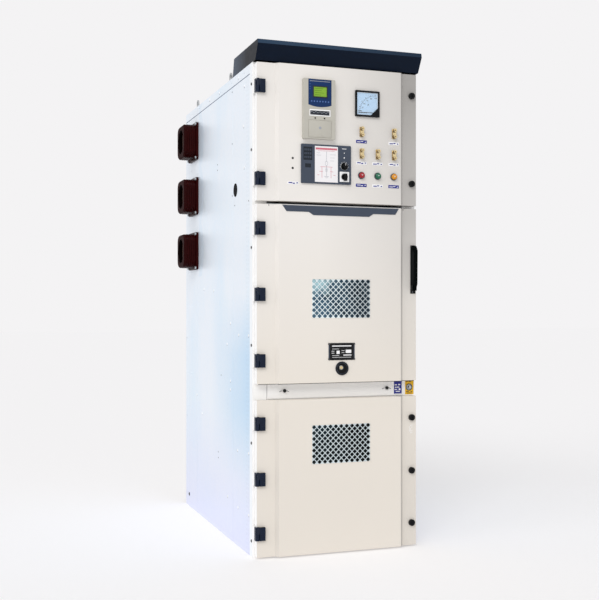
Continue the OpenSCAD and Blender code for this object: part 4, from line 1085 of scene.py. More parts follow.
class CABINET_OT_meter_face(bpy.types.Operator):
    """Adds the ammeter's dial card, scale, figures, screws and glass"""

    bl_idname = "cabinet.meter_face"
    bl_label = "Meter face"

    def execute(self, context):
        body = "instrument_door_leaf"
        margin = context.scene.cabinet_sizes.dial_margin
        half = METER_HALF - margin
        x, z = METER
        back = PANEL_Y - 0.0050
        card_t = 0.0006
        card = plate("meter_dial", (x, z), (2 * half, 2 * half), back, card_t, 0.0)
        corner = (x + half - 0.017, 0.0, z - half + 0.017)
        cut(card, corner, (1, 0, -1))
        finish(card, "dial", body)
        self.scale(back - card_t, body)
        self.border(x, z, half, back - card_t, body)
        pane = 2 * half + 0.001
        glass = plate("meter_glass", (x, z), (pane, pane), PANEL_Y - 0.0085, 0.0008, 0.0)
        cut(glass, (corner[0] + 0.0008, 0, corner[2] - 0.0008), (1, 0, -1))
        finish(glass, "meter_glass", body)
        screw = screw_head("meter_zero_screw", x + 0.046, PANEL_Y - 0.010, z - 0.046, 0.0042,
                           0.0012)
        finish(screw, "black", body)
        return {"FINISHED"}

    def scale(self, face, body):
        """Ticks on an arc about the needle's pivot, with plain figures."""
        px, pz = METER_PIVOT
        ticks, figures = [], []
        for i in range(31):
            angle = math.radians(180 - 3 * i)
            long_tick = i % 6 == 0
            inner, outer = 0.0760, 0.0850 if long_tick else 0.0815
            if abs(math.cos(angle)) * outer > 0.0905 or math.sin(angle) * outer > 0.0905:
                continue
            middle = (inner + outer) / 2
            width = 0.0018 if long_tick else 0.0010
            tick = start_block(f"tick_{i}", (-(outer - inner) / 2, -0.00015, -width / 2),
                               ((outer - inner) / 2, 0.0, width / 2))
            place = Vector((px + middle * math.cos(angle), face, pz + middle * math.sin(angle)))
            tick.data.transform(Matrix.Translation(place) @ Matrix.Rotation(-angle, 4, "Y"))
            ticks.append(tick)
            if long_tick:
                across, up = px + 0.0680 * math.cos(angle), pz + 0.0680 * math.sin(angle)
                figures.append(
                    text_piece(f"figure_{i}", str(i * 10 // 3), across, up, face, 0.0095))
        finish(fuse("meter_scale", ticks), "ink", body)
        finish(fuse("meter_figures", figures), "ink", body)
        unit = text_piece("meter_unit", "A", px - 0.036, pz + 0.036, face, 0.013)
        finish(unit, "ink", body)
        lines = []
        for i, length in enumerate((0.018, 0.046)):
            middle = (METER[0] - 0.0455 + length / 2, METER[1] - 0.0335 - i * 0.0075)
            lines.append(plate(f"line_{i}", middle, (length, 0.0042 if i else 0.0028), face,
                               0.0002, 0.0))
        finish(fuse("meter_print", lines), "ink", body)

    def border(self, x, z, half, face, body):
        """The pale line round the dial, short of the black corner."""
        w, corner = 0.0011, 0.017
        short = 2 * (half - corner)
        sides = (
            ("left", (x - half + w / 2, z), (w, 2 * half)),
            ("right", (x + half - w / 2, z + corner), (w, short)),
            ("top", (x, z + half - w / 2), (2 * half, w)),
            ("foot", (x - corner, z - half + w / 2), (short, w)))
        parts = [plate(name, middle, size, face, 0.0006, 0.0) for name, middle, size in sides]
        finish(fuse("meter_border", parts), "white_print", body)


class CABINET_OT_mimic_front(bpy.types.Operator):
    """Adds the mimic unit's card with a one-line diagram, windows and marks"""

    bl_idname = "cabinet.mimic_front"
    bl_label = "Mimic front"

    def execute(self, context):
        body = "instrument_door_leaf"
        face = PANEL_Y - 0.0075
        card = plate("mimic_card", MIMIC, (0.1115, 0.1635), face, 0.0006, 0.0)
        finish(card, "sheet_card", body)
        self.diagram(*MIMIC, face - 0.0006, body)
        self.windows(face, body)
        self.marks(PANEL_Y - 0.008, body)
        return {"FINISHED"}

    def diagram(self, x, z, face, body):
        """Busbar, truck, earthing switch and cable symbols as thin bars."""
        def bar(left, right, low, high):
            """A bar between two sides and two heights."""
            return plate("bar", (x + (left + right) / 2, z + (low + high) / 2),
                         (right - left, high - low), face, 0.00025, 0.0)
        pink = [
            bar(-0.052, 0.052, 0.0655, 0.0745), bar(-0.040, 0.040, 0.0600, 0.0612),
            bar(-0.0225, -0.0210, -0.062, -0.012), bar(0.0215, 0.0230, -0.062, -0.012),
            bar(-0.030, 0.030, -0.0125, -0.0110), bar(-0.034, -0.018, -0.034, -0.0325),
            bar(0.018, 0.034, -0.034, -0.0325), bar(-0.044, -0.034, -0.050, -0.0485),
            bar(0.034, 0.044, -0.050, -0.0485),
        ]
        finish(fuse("mimic_lines_pink", pink), "pink_print", body)
        grey = [
            bar(-0.0007, 0.0007, 0.012, 0.058), bar(-0.0007, 0.0007, -0.055, -0.004),
            bar(-0.006, 0.006, -0.0045, -0.0035), bar(-0.006, 0.006, 0.0115, 0.0125),
            bar(-0.006, -0.005, -0.004, 0.012), bar(0.005, 0.006, -0.004, 0.012),
            bar(-0.012, 0.012, -0.0560, -0.0548), bar(-0.008, 0.008, -0.0595, -0.0585),
            bar(-0.004, 0.004, -0.0630, -0.0622), bar(-0.048, -0.026, 0.040, 0.0412),
            bar(0.018, 0.046, 0.044, 0.0450), bar(0.018, 0.040, 0.030, 0.0310),
            bar(-0.048, -0.030, 0.050, 0.0510), bar(0.018, 0.036, 0.016, 0.0170),
        ]
        rings = []
        for i in range(2):
            centre = (x, face - 0.0001, z - 0.022 - i * 0.007)
            rings.append(start_ring(f"ring_{i}", centre, 0.0048, 0.0004))
        finish(fuse("mimic_lines_grey", grey + rings), "grey_print", body)

    def windows(self, face, body):
        """The two small windows with their strokes and dots."""
        large = plate("mimic_window_large", (-0.159, 1.830), (0.0415, 0.0595), face + 0.0002,
                      0.0006, 0.0002)
        small = plate("mimic_window_small", (-0.158, 1.775), (0.0275, 0.0175), face + 0.0002,
                      0.0006, 0.0002)
        finish(fuse("mimic_windows", [large, small]), "dark_window", body)
        strokes = []
        for row in range(3):
            for column in range(4):
                middle = (-0.1725 + column * 0.009, 1.8470 - row * 0.0170)
                strokes.append(plate("segment", middle, (0.0052, 0.0094), face - 0.0004, 0.0002,
                                     0.0))
        finish(fuse("mimic_segments", strokes), "slate", body)
        dots = []
        for row in range(2):
            centre = (KNOB[0], PANEL_Y - 0.0088, 1.8395 - row * 0.022)
            dots.append(soften(start_round(f"dot_{row}", centre, 0.0023 + row * 0.0007, 0.0018,
                                           sides=20), 0.0006))
        finish(fuse("mimic_indicators", dots), "white_print", body)

    def marks(self, face, body):
        """The scale round the knob, the knob's line and collar, and the switch's plate."""
        marks = []
        for i in range(-3, 4):
            angle = math.radians(90 + 32 * i)
            stroke = start_block("stroke", (-0.0022, -0.0003, -0.0006), (0.0022, 0.0, 0.0006))
            place = Vector((KNOB[0] + 0.0205 * math.cos(angle), face,
                            KNOB[1] + 0.0205 * math.sin(angle)))
            stroke.data.transform(Matrix.Translation(place) @ Matrix.Rotation(-angle, 4, "Y"))
            marks.append(stroke)
        marks.append(plate("title", (KNOB[0], 1.8585), (0.022, 0.0026), face, 0.0003, 0.0))
        finish(fuse("mimic_knob_marks", marks), "white_print", body)
        knob_line = plate("mimic_knob_line", (KNOB[0], KNOB[1] + 0.0085), (0.0016, 0.0125),
                          PANEL_Y - 0.028, 0.0003, 0)
        finish(knob_line, "white_print", "mimic_knob")
        collar = start_ring("mimic_knob_collar", (KNOB[0], PANEL_Y - 0.0095, KNOB[1]), 0.0172,
                            0.0011)
        finish(collar, "plating", body)
        frame_plate = plate("mimic_switch_plate", SWITCH, (0.0465, 0.0465), PANEL_Y - 0.0100,
                            0.0006, 0.0002)
        ring_hole = start_round("hole", (SWITCH[0], PANEL_Y - 0.0103, SWITCH[1]), 0.0152, 0.01)
        carve(frame_plate, ring_hole)
        finish(frame_plate, "white_print", body)


class CABINET_OT_door_labels(bpy.types.Operator):
    """Adds the bare label strips beside the links, lamps and dots"""

    bl_idname = "cabinet.door_labels"
    bl_label = "Door labels"

    def execute(self, context):
        sizes = context.scene.cabinet_sizes
        size = (sizes.label_length, sizes.label_height)
        for kind, places in (("white_print", WHITE_STRIPS), ("label_blue", BLUE_STRIPS)):
            parts = []
            for i, place in enumerate(places):
                strip = plate(f"strip_{i}", place, size, PANEL_Y, sizes.label_thickness, 0.0003)
                parts.append(strip)
            finish(fuse(f"label_strips_{kind}", parts), kind, "instrument_door_leaf")
        for kind, places in (("label_blue", WHITE_STRIPS), ("white_print", BLUE_STRIPS)):
            fields = []
            for i, (x, z) in enumerate(places):
                face = PANEL_Y - sizes.label_thickness
                for j, share in enumerate((0.34, 0.20, 0.12)):
                    at = (x - size[0] * (0.24 - 0.30 * j),
                          z + size[1] * (0.06 if (i + j) % 2 else -0.10))
                    height = size[1] * (0.34 if kind == "label_blue" else 0.20)
                    fields.append(plate("field", at, (size[0] * share, height), face, 0.00015,
                                        0.0))
            finish(fuse(f"label_fields_{kind}", fields), kind, "instrument_door_leaf")
        for i, (x, z) in enumerate(DOT_HOLES):
            plug = start_round(f"panel_plug_{i}", (x, PANEL_Y + 0.0005, z), 0.0048, 0.0030,
                               sides=24)
            sink(plug, 0.0014, 0.0006)
            finish(plug, "black", "instrument_door_leaf")
        return {"FINISHED"}


class CABINET_OT_pilot_lamps(bpy.types.Operator):
    """Makes the three pilot lamps with their bezels, faceted lenses and painted glints"""

    bl_idname = "cabinet.pilot_lamps"
    bl_label = "Pilot lamps"

    def execute(self, context):
        body = "instrument_door_leaf"
        bezels = []
        for i, (x, z) in enumerate(LAMPS):
            bezel = start_round(f"bezel_{i}", (x, PANEL_Y - 0.0030, z), 0.0168, 0.0060, sides=48)
            sink(bezel, 0.0032, 0.0025)
            bezels.append(soften(bezel, 0.0009))
            barrel = start_round(f"barrel_{i}", (x, PANEL_Y + 0.0250, z), 0.0108, 0.0500, sides=32)
            bezels.append(barrel)
        bezel_piece = finish(fuse("lamp_bezels", bezels), "dark_plating", body)
        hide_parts("pilot_lamps")
        for name, (x, z) in zip(("lamp_red", "lamp_green", "lamp_amber"), LAMPS):
            finish(self.lens(name, x, z), name, body)
        # Painted highlights: small white crosses on the lenses stand for their glints.
        glints = []
        for x, z in LAMPS:
            for size in ((0.0090, 0.0013), (0.0013, 0.0070)):
                glints.append(plate("glint", (x - 0.0010, z + 0.0012), size, PANEL_Y - 0.0180,
                                    0.0003, 0.0))
        finish(fuse("lens_painted_glints", glints), "white_print", body)
        return {"FINISHED"}

    def lens(self, name, x, z):
        """A domed lens: a stepped drum whose front ring is drawn in."""
        dome = start_round(name + "_lens", (x, PANEL_Y - 0.0085, z), 0.0134, 0.0100, sides=36)
        for border, rise in ((0.0016, 0.0022), (0.0026, 0.0016), (0.0034, 0.0008)):
            edit_faces(dome, faces_front)
            bpy.ops.mesh.inset(thickness=border, depth=rise)
            leave_edit()
        return soften(dome, 0.0008, 2, 18.0)


class CABINET_OT_link_hardware(bpy.types.Operator):
    """Adds knurled nuts' rims and insulating bases to the test links"""

    bl_idname = "cabinet.link_hardware"
    bl_label = "Test link hardware"

    def execute(self, context):
        body = "instrument_door_leaf"
        rims, bases = [], []
        for x, z in LINKS:
            for side in (-1, 1):
                at = z + side * LINK_GAP / 2
                for depth in (0.0122, 0.0158, 0.0194):
                    rims.append(start_ring("rim", (x, PANEL_Y - depth, at), 0.0080, 0.0008, "Y",
                                           20, 6))
                tip = start_round("tip", (x, PANEL_Y - 0.0290, at), 0.0026, 0.0022, sides=16)
                rims.append(soften(tip, 0.0006))
            base = plate("base", (x, z), (0.0185, 0.0475), PANEL_Y, 0.0014, 0.0005)
            bases.append(base)
        finish(fuse("link_nut_rims", rims), "brass", body)
        finish(fuse("link_insulating_bases", bases), "brass", body)
        return {"FINISHED"}


class CABINET_OT_windows(bpy.types.Operator):
    """Adds panes, rubber beads and clips behind the two window grilles"""

    bl_idname = "cabinet.windows"
    bl_label = "Windows"

    def execute(self, context):
        for door, x, z in WINDOWS:
            self.window(door, (x, z), f"{door}_door_leaf")
        return {"FINISHED"}

    def window(self, door, middle, body):
        """One window: its pane, the bead that holds it, the lip in the sheet, the clips."""
        w, h = WINDOW_SIZE
        back = PANEL_Y + 0.0035

        def sheet(name, overlap, front, depth):
            """A plate that overlaps the opening all round, from its front plane backwards."""
            size = (w + 2 * overlap, h + 2 * overlap)
            return plate(name, middle, size, front + depth, depth, 0.0)

        pane = sheet(f"{door}_window_pane", 0.012, back + 0.001, 0.004)
        finish(pane, f"{door}_pane", body)
        bead = sheet(f"{door}_window_bead", 0.014, back, 0.009)
        carve(bead, sheet("hollow", 0.004, back - 0.010, 0.030))
        carve(bead, sheet("groove", 0.0121, back + 0.001, 0.0041))
        finish(bead, "rubber", body)
        lip = sheet(f"{door}_window_lip", 0.003, PANEL_Y - 0.0012, 0.0032)
        carve(lip, sheet("hollow", 0.0, PANEL_Y - 0.010, 0.020))
        finish(soften(lip, 0.0006), "door_paint", body)
        clips = []
        for side in (-1, 1):
            for level in (-1, 1):
                x = middle[0] + side * (w / 2 + 0.013)
                z = middle[1] + level * 0.05
                clip = plate("clip", (x, z), (0.012, 0.016), back + 0.0115, 0.0025, 0.0006)
                screw = screw_head("clip_screw", x, back + 0.0115, z, 0.0030, 0.0016, 1.0)
                clips.extend((clip, screw))
        finish(fuse(f"{door}_window_clips", clips), "plating", body)


class CABINET_OT_nameplate(bpy.types.Operator):
    """Adds the bare nameplate's frame, field and screws, and the port's key"""

    bl_idname = "cabinet.nameplate"
    bl_label = "Nameplate and port"

    def execute(self, context):
        body = "breaker_door_leaf"
        x, z = NAMEPLATE
        outer = plate("nameplate", (x, z), (0.118, 0.078), PANEL_Y - 0.0015, 0.0010, 0.0004)
        sink(outer, 0.0035, 0.0004)
        finish(outer, "glossy_black", body)
        corners = [
            (x + side * 0.0610, z + level * 0.0345) for side in (-1, 1) for level in (-1, 1)]
        ears = [
            soften(start_round("ear", (at, PANEL_Y - 0.0018, up), 0.0052, 0.0026, sides=24),
                   0.0005)
            for at, up in corners]
        finish(fuse("nameplate_ears", ears), "glossy_black", body)
        screws = [
            screw_head("screw", at, PANEL_Y - 0.0031, up, 0.0028, 0.0010) for at, up in corners]
        finish(fuse("nameplate_screws", screws), "dark_plating", body)
        fields = [
            plate("field", (x + dx, z + dz), size, PANEL_Y - 0.0021, 0.0002, 0.0)
            for dx, dz, size in (
                (0.000, 0.0255, (0.0940, 0.0046)), (-0.0300, 0.0120, (0.0330, 0.0016)),
                (-0.0180, -0.0035, (0.0150, 0.0150)), (0.0330, 0.0005, (0.0270, 0.0150)),
                (-0.0430, 0.0020, (0.0130, 0.0022)), (-0.0430, -0.0070, (0.0130, 0.0022)),
                (0.0060, 0.0040, (0.0140, 0.0016)), (0.0060, -0.0050, (0.0140, 0.0016)),
                (0.0280, -0.0165, (0.0400, 0.0042)), (-0.0300, -0.0180, (0.0330, 0.0016)),
                (0.000, -0.0265, (0.0940, 0.0014)))]
        finish(fuse("nameplate_rules", fields), "white_print", body)
        self.port(body)
        return {"FINISHED"}

    def port(self, body):
        """The ring of the round port and the face of its lock."""
        x, z = PORT
        ring = start_ring("port_outer_ring", (x, PANEL_Y - 0.0045, z), 0.0287, 0.0026, "Y", 64, 12)
        finish(ring, "glossy_black", body)
        centre = (x - 0.006, PANEL_Y - 0.0086, z + 0.004)
        face = start_round("port_key_face", centre, 0.0072, 0.0014, sides=36)
        soften(face, 0.0005)
        way = start_block("way", (centre[0] - 0.0007, centre[1] - 0.002, centre[2] - 0.0042),
                          (centre[0] + 0.0007, centre[1] + 0.0005, centre[2] + 0.0042))
        carve(face, way)
        finish(face, "brass", "port_lock")
        collar = start_ring("port_key_collar", (centre[0], PANEL_Y - 0.0080, centre[2]), 0.0088,
                            0.0010, "Y", 40, 8)
        finish(collar, "plating", "port_lock")


class CABINET_OT_locks(bpy.types.Operator):
    """Adds key inserts to the latches and trim to the handle"""

    bl_idname = "cabinet.locks"
    bl_label = "Locks and handle"

    def execute(self, context):
        for name, z in LATCHES:
            rim = start_ring(f"{name}_rim", (LATCH_X, STRIP_Y - 0.0112, z), 0.0132, 0.0012, "Y",
                             48, 8)
            finish(rim, "glossy_black", name)
            insert = start_round(f"{name}_insert", (LATCH_X, STRIP_Y - 0.0122, z), 0.0068, 0.0010,
                                 sides=32)
            way = start_block("way", (LATCH_X - 0.0015, STRIP_Y - 0.0140, z - 0.006),
                              (LATCH_X + 0.0015, STRIP_Y - 0.0110, z + 0.006))
            carve(insert, way)
            finish(insert, "black", name)
        x = LATCH_X + 0.008
        grips = []
        for i in range(9):
            z = 1.262 + i * 0.0135
            grip = start_block("grip", (x - 0.0069, STRIP_Y - 0.0405, z),
                               (x + 0.0069, STRIP_Y - 0.0385, z + 0.005))
            grips.append(soften(grip, 0.0006))
        finish(fuse("handle_grip_ribs", grips), "handle_black", "door_handle")
        caps = []
        for z in (1.2035, 1.4135):
            caps.append(screw_head("cap", x - 0.0035, STRIP_Y - 0.0020, z, 0.0034, 0.0014))
        finish(fuse("handle_base_screws", caps), "dark_plating", "breaker_door_leaf")
        return {"FINISHED"}


class CABINET_OT_hinge_screws(bpy.types.Operator):
    """Adds the leaf covers and end caps of the hinges"""

    bl_idname = "cabinet.hinge_screws"
    bl_label = "Hinge covers and caps"

    def execute(self, context):
        half = 0.030
        for body, levels in HINGES.items():
            leaves = []
            for z in levels:
                cover = start_block("cover", (HINGE_X + 0.0075, STRIP_Y - 0.0150, z - half),
                                    (HINGE_X + 0.0335, STRIP_Y - 0.0002, z + half))
                edit_faces(cover, faces_front)
                bpy.ops.mesh.inset(thickness=0.0035, depth=0.0008)
                leave_edit()
                leaves.append(soften(cover, 0.0012))
                for i in range(5):
                    at = z - half + 0.010 + i * 0.010
                    rib = start_block("rib", (HINGE_X + 0.0120, STRIP_Y - 0.0164, at - 0.0007),
                                      (HINGE_X + 0.0290, STRIP_Y - 0.0155, at + 0.0007))
                    leaves.append(rib)
            finish(fuse(f"{body}_hinge_covers", leaves), "hinge_coat", body)
        caps = []
        for levels in HINGES.values():
            for z in levels:
                cap = start_round("cap", (HINGE_X, STRIP_Y - 0.0075, z + half + 0.0010), 0.0062,
                                  0.0020, "Z", 24)
                caps.append(soften(cap, 0.0006))
        finish(fuse("hinge_pin_caps", caps), "hinge_coat", "cabinet")
        return {"FINISHED"}


class CABINET_OT_crossbar_labels(bpy.types.Operator):
    """Adds the blue and yellow labels and the marks round the crossbar's screws"""

    bl_idname = "cabinet.crossbar_labels"
    bl_label = "Crossbar labels"

    def execute(self, context):
        body = "cabinet"
        bar_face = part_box("front_frame")[0].y
        blue = plate("blue_label", BLUE_LABEL, (0.0400, 0.0610), bar_face, 0.0006, 0.0)
        finish(blue, "label_blue", body)
        frame_lines = [
            plate("line", (BLUE_LABEL[0], BLUE_LABEL[1] + side * 0.0285), (0.0360, 0.0010),
                  bar_face - 0.0006, 0.0002, 0.0)
            for side in (-1, 1)]
        finish(fuse("blue_label_lines", frame_lines), "white_print", body)
        yellow = plate("yellow_label", YELLOW_LABEL, (0.0440, 0.0700), POST_Y, 0.0006, 0.0)
        hole = start_round("hole", (DRIVE[0], POST_Y, DRIVE[1]), 0.0142, 0.02)
        carve(yellow, hole)
        finish(yellow, "label_yellow", body)
        centre = (DRIVE[0], POST_Y - 0.0012, DRIVE[1])
        escutcheon = start_ring("drive_escutcheon", centre, 0.0148, 0.0022, "Y", 48, 10)
        finish(escutcheon, "dark_plating", body)
        marks, caps = [], []
        for x in (-0.253, 0.253):
            cap = start_round("cap", (x, bar_face - 0.0085, DRIVE[1]), 0.0082, 0.0022, sides=32)
            edit_faces(cap, faces_front)
            bpy.ops.mesh.inset(thickness=0.0026, depth=0.0008)
            leave_edit()
            caps.append(soften(cap, 0.0006))
            for side in (-1, 1):
                for step in (0, 1):
                    middle = (x + side * (0.0135 + step * 0.0060),
                              DRIVE[1] - 0.0010 - step * 0.0032)
                    marks.append(plate("mark", middle, (0.0075, 0.0022), bar_face, 0.0003, 0.0))
        finish(fuse("crossbar_caps", caps), "glossy_black", body)
        finish(fuse("crossbar_marks", marks), "ink", body)
        lip = start_block("crossbar_lip", (-0.3330, POST_Y + 0.0006, 0.7000),
                          (0.3330, POST_Y + 0.0024, 0.7158))
        finish(soften(lip, 0.0005), "frame_paint", body)
        # A rubber strip under the door's front edge: partly a real seal, and its dark line also
        # stands for the shadow under the door.
        under_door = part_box("breaker_door")[0].z
        seal = []
        for left, right, front in (
                (-0.3850, 0.3800, STRIP_Y + 0.0010), (-0.2980, 0.3100, PANEL_Y + 0.0015)):
            run = start_block("seal", (left, front, under_door - 0.0026),
                              (right, front + 0.0035, under_door + 0.0002))
            seal.append(soften(run, 0.0004))
        finish(fuse("breaker_door_seal", seal), "rubber", "breaker_door_leaf")
        self.signs(bar_face, body)
        rows = [
            plate("row", (0.3560 + i * 0.0065, 0.5560 + (j - 2) * 0.0085), (0.0022, 0.0062),
                  STRIP_Y, 0.0003, 0.0)
            for i in range(3) for j in range(5) if (i * 5 + j) % 4]
        finish(fuse("cable_door_marks", rows), "white_print", "cable_door_leaf")
        return {"FINISHED"}

    def signs(self, bar_face, body):
        """Plain strokes in place of the signs on the blue and yellow labels."""
        strokes = [
            plate("stroke", (BLUE_LABEL[0] + dx, BLUE_LABEL[1] + dz), size,
                  bar_face - 0.0006, 0.0002, 0.0)
            for dx, dz, size in (
                (-0.010, 0.012, (0.0120, 0.0046)), (0.007, 0.013, (0.0100, 0.0060)),
                (-0.004, 0.001, (0.0240, 0.0040)), (0.009, -0.009, (0.0090, 0.0080)),
                (-0.010, -0.010, (0.0130, 0.0040)), (0.000, -0.019, (0.0220, 0.0036)))]
        finish(fuse("blue_label_strokes", strokes), "white_print", body)
        dabs = [
            plate("dab", (YELLOW_LABEL[0] + dx, YELLOW_LABEL[1] + dz), size,
                  POST_Y - 0.0006, 0.0002, 0.0)
            for dx, dz, size in (
                (-0.012, 0.0265, (0.0100, 0.0034)), (0.003, 0.0265, (0.0140, 0.0034)),
                (-0.009, -0.0225, (0.0140, 0.0036)), (0.011, -0.0225, (0.0090, 0.0036)),
                (0.001, -0.0290, (0.0260, 0.0028)))]
        finish(fuse("yellow_label_dabs", dabs), "ink", body)


class CABINET_OT_door_seals(bpy.types.Operator):
    """Adds the foamed seals behind the doors"""

    bl_idname = "cabinet.door_seals"
    bl_label = "Door seals"

    def execute(self, context):
        width = context.scene.cabinet_sizes.seal_width
        for node, body in (("instrument_door", "instrument_door_leaf"),
                           ("breaker_door", "breaker_door_leaf"),
                           ("cable_door", "cable_door_leaf")):
            low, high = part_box(node)
            left, right = WALL_X + 0.0155, 0.3825
            back = STRIP_Y + 0.0021
            foot, head = low.z + 0.014, high.z - 0.014
            parts = [
                start_block("run", (left, back, level), (right, back + 0.006, level + width))
                for level in (foot, head - width)]
            parts.append(start_block(
                "rise", (left, back, foot + width), (left + width, back + 0.006, head - width)))
            for part in parts:
                soften(part, 0.002)
            finish(fuse(f"{node}_seal", parts), "rubber", body)
        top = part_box("breaker_door")[1].z
        ticks = [
            plate("tick", (x, top - 0.0046), (0.0022, 0.0090), STRIP_Y, 0.0003, 0.0)
            for x in (-0.336, 0.323)]
        finish(fuse("breaker_door_fold_slits", ticks), "ink", "breaker_door_leaf")
        return {"FINISHED"}


def on_wall(part, spots):
    """Where the photograph's camera sees the spots on the left wall, to a millimetre."""
    turn = math.radians(CAMERA_TURN)
    width, height = PHOTO_SIZE
    places = []
    for column, row in spots:
        across = (part[0] + column / ENLARGED - width / 2) / width + CAMERA_SHIFT[0]
        up = (height / 2 - part[1] - row / ENLARGED) / width + CAMERA_SHIFT[1]
        across, up = (share * CAMERA_SENSOR / CAMERA_LENS for share in (across, up))
        sideways = across * math.cos(turn) - math.sin(turn)
        reach = (WALL_X - CAMERA_PLACE[0]) / sideways
        y = CAMERA_PLACE[1] + reach * (math.cos(turn) + across * math.sin(turn))
        z = CAMERA_PLACE[2] + reach * up
        places.append((max(round(y, 3), SPOTS_FRONT), round(z, 3)))
    return places


class CABINET_OT_wall_fixings(bpy.types.Operator):
    """Adds rivets, dimples drawn as painted highlights and painted shadows, and the roof's screws
    """

    bl_idname = "cabinet.wall_fixings"
    bl_label = "Wall fixings"

    def execute(self, context):
        radius = context.scene.cabinet_sizes.rivet_radius
        rows = [(y, 0.190 + i * 0.190) for y in (0.560, 0.640) for i in range(11)]
        rows += [(-0.52 + i * 0.23, TOP_Z - 0.012) for i in range(5)]
        dimples = on_wall(UPPER_PART, UPPER_DIMPLES) + on_wall(LOWER_PART, LOWER_DIMPLES)
        dots = on_wall(UPPER_PART, UPPER_DOTS) + on_wall(LOWER_PART, LOWER_DOTS)
        self.spread("wall_rivets", rows, radius, 0.0016, "wall_metal", "zinc_sheet")
        # Painted highlights: a white dome at each dimple; painted shadows: a grey disc just below
        # each dome.
        self.spread("wall_dimple_highlights", dimples, radius * 1.5, 0.0026, "white_print", "white_paint")
        rims = [(y + 0.0020, z - 0.0062) for y, z in dimples]
        self.spread("dimple_shadows", rims, radius * 0.8, 0.0010, "grey_print", "zinc_sheet")
        self.spread("wall_dots", dots, radius * 0.75, 0.0010, "ink", "black_plastic")
        plugs = []
        for y, levels in ((POST_Y + 0.020, POST_HOLES), (REAR_HOLE[0], REAR_HOLE[1:])):
            for z in levels:
                for side in (-1, 1):
                    size = 0.0066 if y < 0.0 else 0.0095
                    plug = start_round("plug", (side * (WALL_X - 0.0012), y, z), size, 0.0024, "X",
                                       20)
                    plugs.append(soften(plug, 0.0004))
        finish(fuse("post_plugs", plugs), "black", "cabinet")
        grommets = []
        for side in (-1, 1):
            disc = start_round("disc", (side * (-WALL_X - 0.0010), *WIRE_HOLE), 0.0308, 0.0030,
                               "X", 48)
            rim = start_ring("rim", (side * -WALL_X, *WIRE_HOLE), 0.0300, 0.0022, "X", 48, 8)
            grommets.extend((soften(disc, 0.0006), rim))
        finish(fuse("wiring_grommets", grommets), "rubber", "cabinet")
        self.roof_screws()
        return {"FINISHED"}

    def spread(self, name, places, radius, height, finish_name, slot):
        """The same small head at each place of both side walls."""
        heads = []
        base = start_round("head", (WALL_X - 0.0007, 0.0, 0.0), radius, height, "X", 14)
        soften(base, 0.0005)
        for y, z in places:
            heads.append(copy_to(base, (0.0, y, z)))
            heads.append(copy_to(base, (-2 * WALL_X + 0.0014, y, z)))
        bpy.data.objects.remove(base)
        finish(fuse(name, heads), finish_name, "cabinet")

    def roof_screws(self):
        """Two rows along the roof's edges, left out beside the lifting lugs."""
        screws = []
        base = start_round("screw", (0.0, 0.0, TOP_Z + 0.0015), 0.0045, 0.0030, "Z", 16)
        soften(base, 0.0008)
        for i in range(9):
            y = -0.310 + i * 0.120
            for x in (-0.350, 0.350):
                if min(abs(y - lug) for lug in LUG_Y) > 0.03:
                    screws.append(copy_to(base, (x, y, 0.0)))
        bpy.data.objects.remove(base)
        finish(fuse("roof_screws", screws), "plating", "cabinet")


class CABINET_OT_mechanism_front(bpy.types.Operator):
    """Adds the breaker's buttons, indicators, counter and charging socket"""

    bl_idname = "cabinet.mechanism_front"
    bl_label = "Breaker front"

    def execute(self, context):
        body = "truck"
        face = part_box("breaker_mechanism")[0].y + 0.008
        panel = plate("breaker_front_panel", (0.0, 1.300), (0.440, 0.300), face, 0.0020, 0.0008)
        finish(panel, "relay_housing", body)
        for name, x, kind in (("breaker_on_button", -0.150, "lamp_green"),
                              ("breaker_off_button", 0.150, "lamp_red")):
            cap = start_round(name, (x, face - 0.0105, 1.250), 0.0150, 0.0050)
            soften(cap, 0.0012)
            finish(cap, kind, body)
            ring = start_ring(name + "_ring", (x, face - 0.0085, 1.250), 0.0175, 0.0020)
            finish(ring, "plating", body)
        windows = []
        for place in BREAKER_WINDOWS:
            window = plate("window", place, (0.056, 0.030), face - 0.0020, 0.0030, 0.0006)
            windows.append(sink(window, 0.0030, 0.0016))
        finish(fuse("breaker_indicator_frames", windows), "black", body)
        cards = [
            plate("card", place, (0.0495, 0.0235), face - 0.0034, 0.0004, 0.0)
            for place in BREAKER_WINDOWS]
        finish(fuse("breaker_indicator_cards", cards), "sheet_card", body)
        socket = start_round("breaker_charging_socket", (0.0, face - 0.0050, 1.290), 0.0240,
                             0.0060, sides=48)
        sink(socket, 0.0080, 0.0045)
        soften(socket, 0.0008)
        finish(socket, "dark_plating", body)
        grips = []
        for side in (-1, 1):
            x = side * 0.215
            bar = start_round("bar", (x, face - 0.034, 1.020), 0.0085, 0.150, "Z", 24)
            grips.append(bar)
            for z in (0.952, 1.088):
                grips.append(start_round("post", (x, face - 0.017, z), 0.0065, 0.034, "Y", 20))
        finish(fuse("breaker_grips", grips), "black", body)
        return {"FINISHED"}


class CABINET_OT_contact_springs(bpy.types.Operator):
    """Adds the coil springs that press the contact fingers together"""

    bl_idname = "cabinet.contact_springs"
    bl_label = "Contact springs"

    def execute(self, context):
        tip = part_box("contact_arms")[1].y
        springs = []
        for x in PHASES:
            for z in CONTACTS:
                for back in (0.012, 0.040):
                    springs.append(start_ring("spring", (x, tip - back, z), 0.0465, 0.0026, "Y",
                                              48, 8))
        finish(fuse("contact_springs", springs), "plating", "truck")
        rings = []
        for x in PHASES:
            for z in CONTACTS:
                rings.append(start_ring("ring", (x, tip - 0.092, z), 0.0275, 0.0036, "Y", 40, 8))
        finish(fuse("arm_clamp_rings", rings), "resin", "truck")
        return {"FINISHED"}


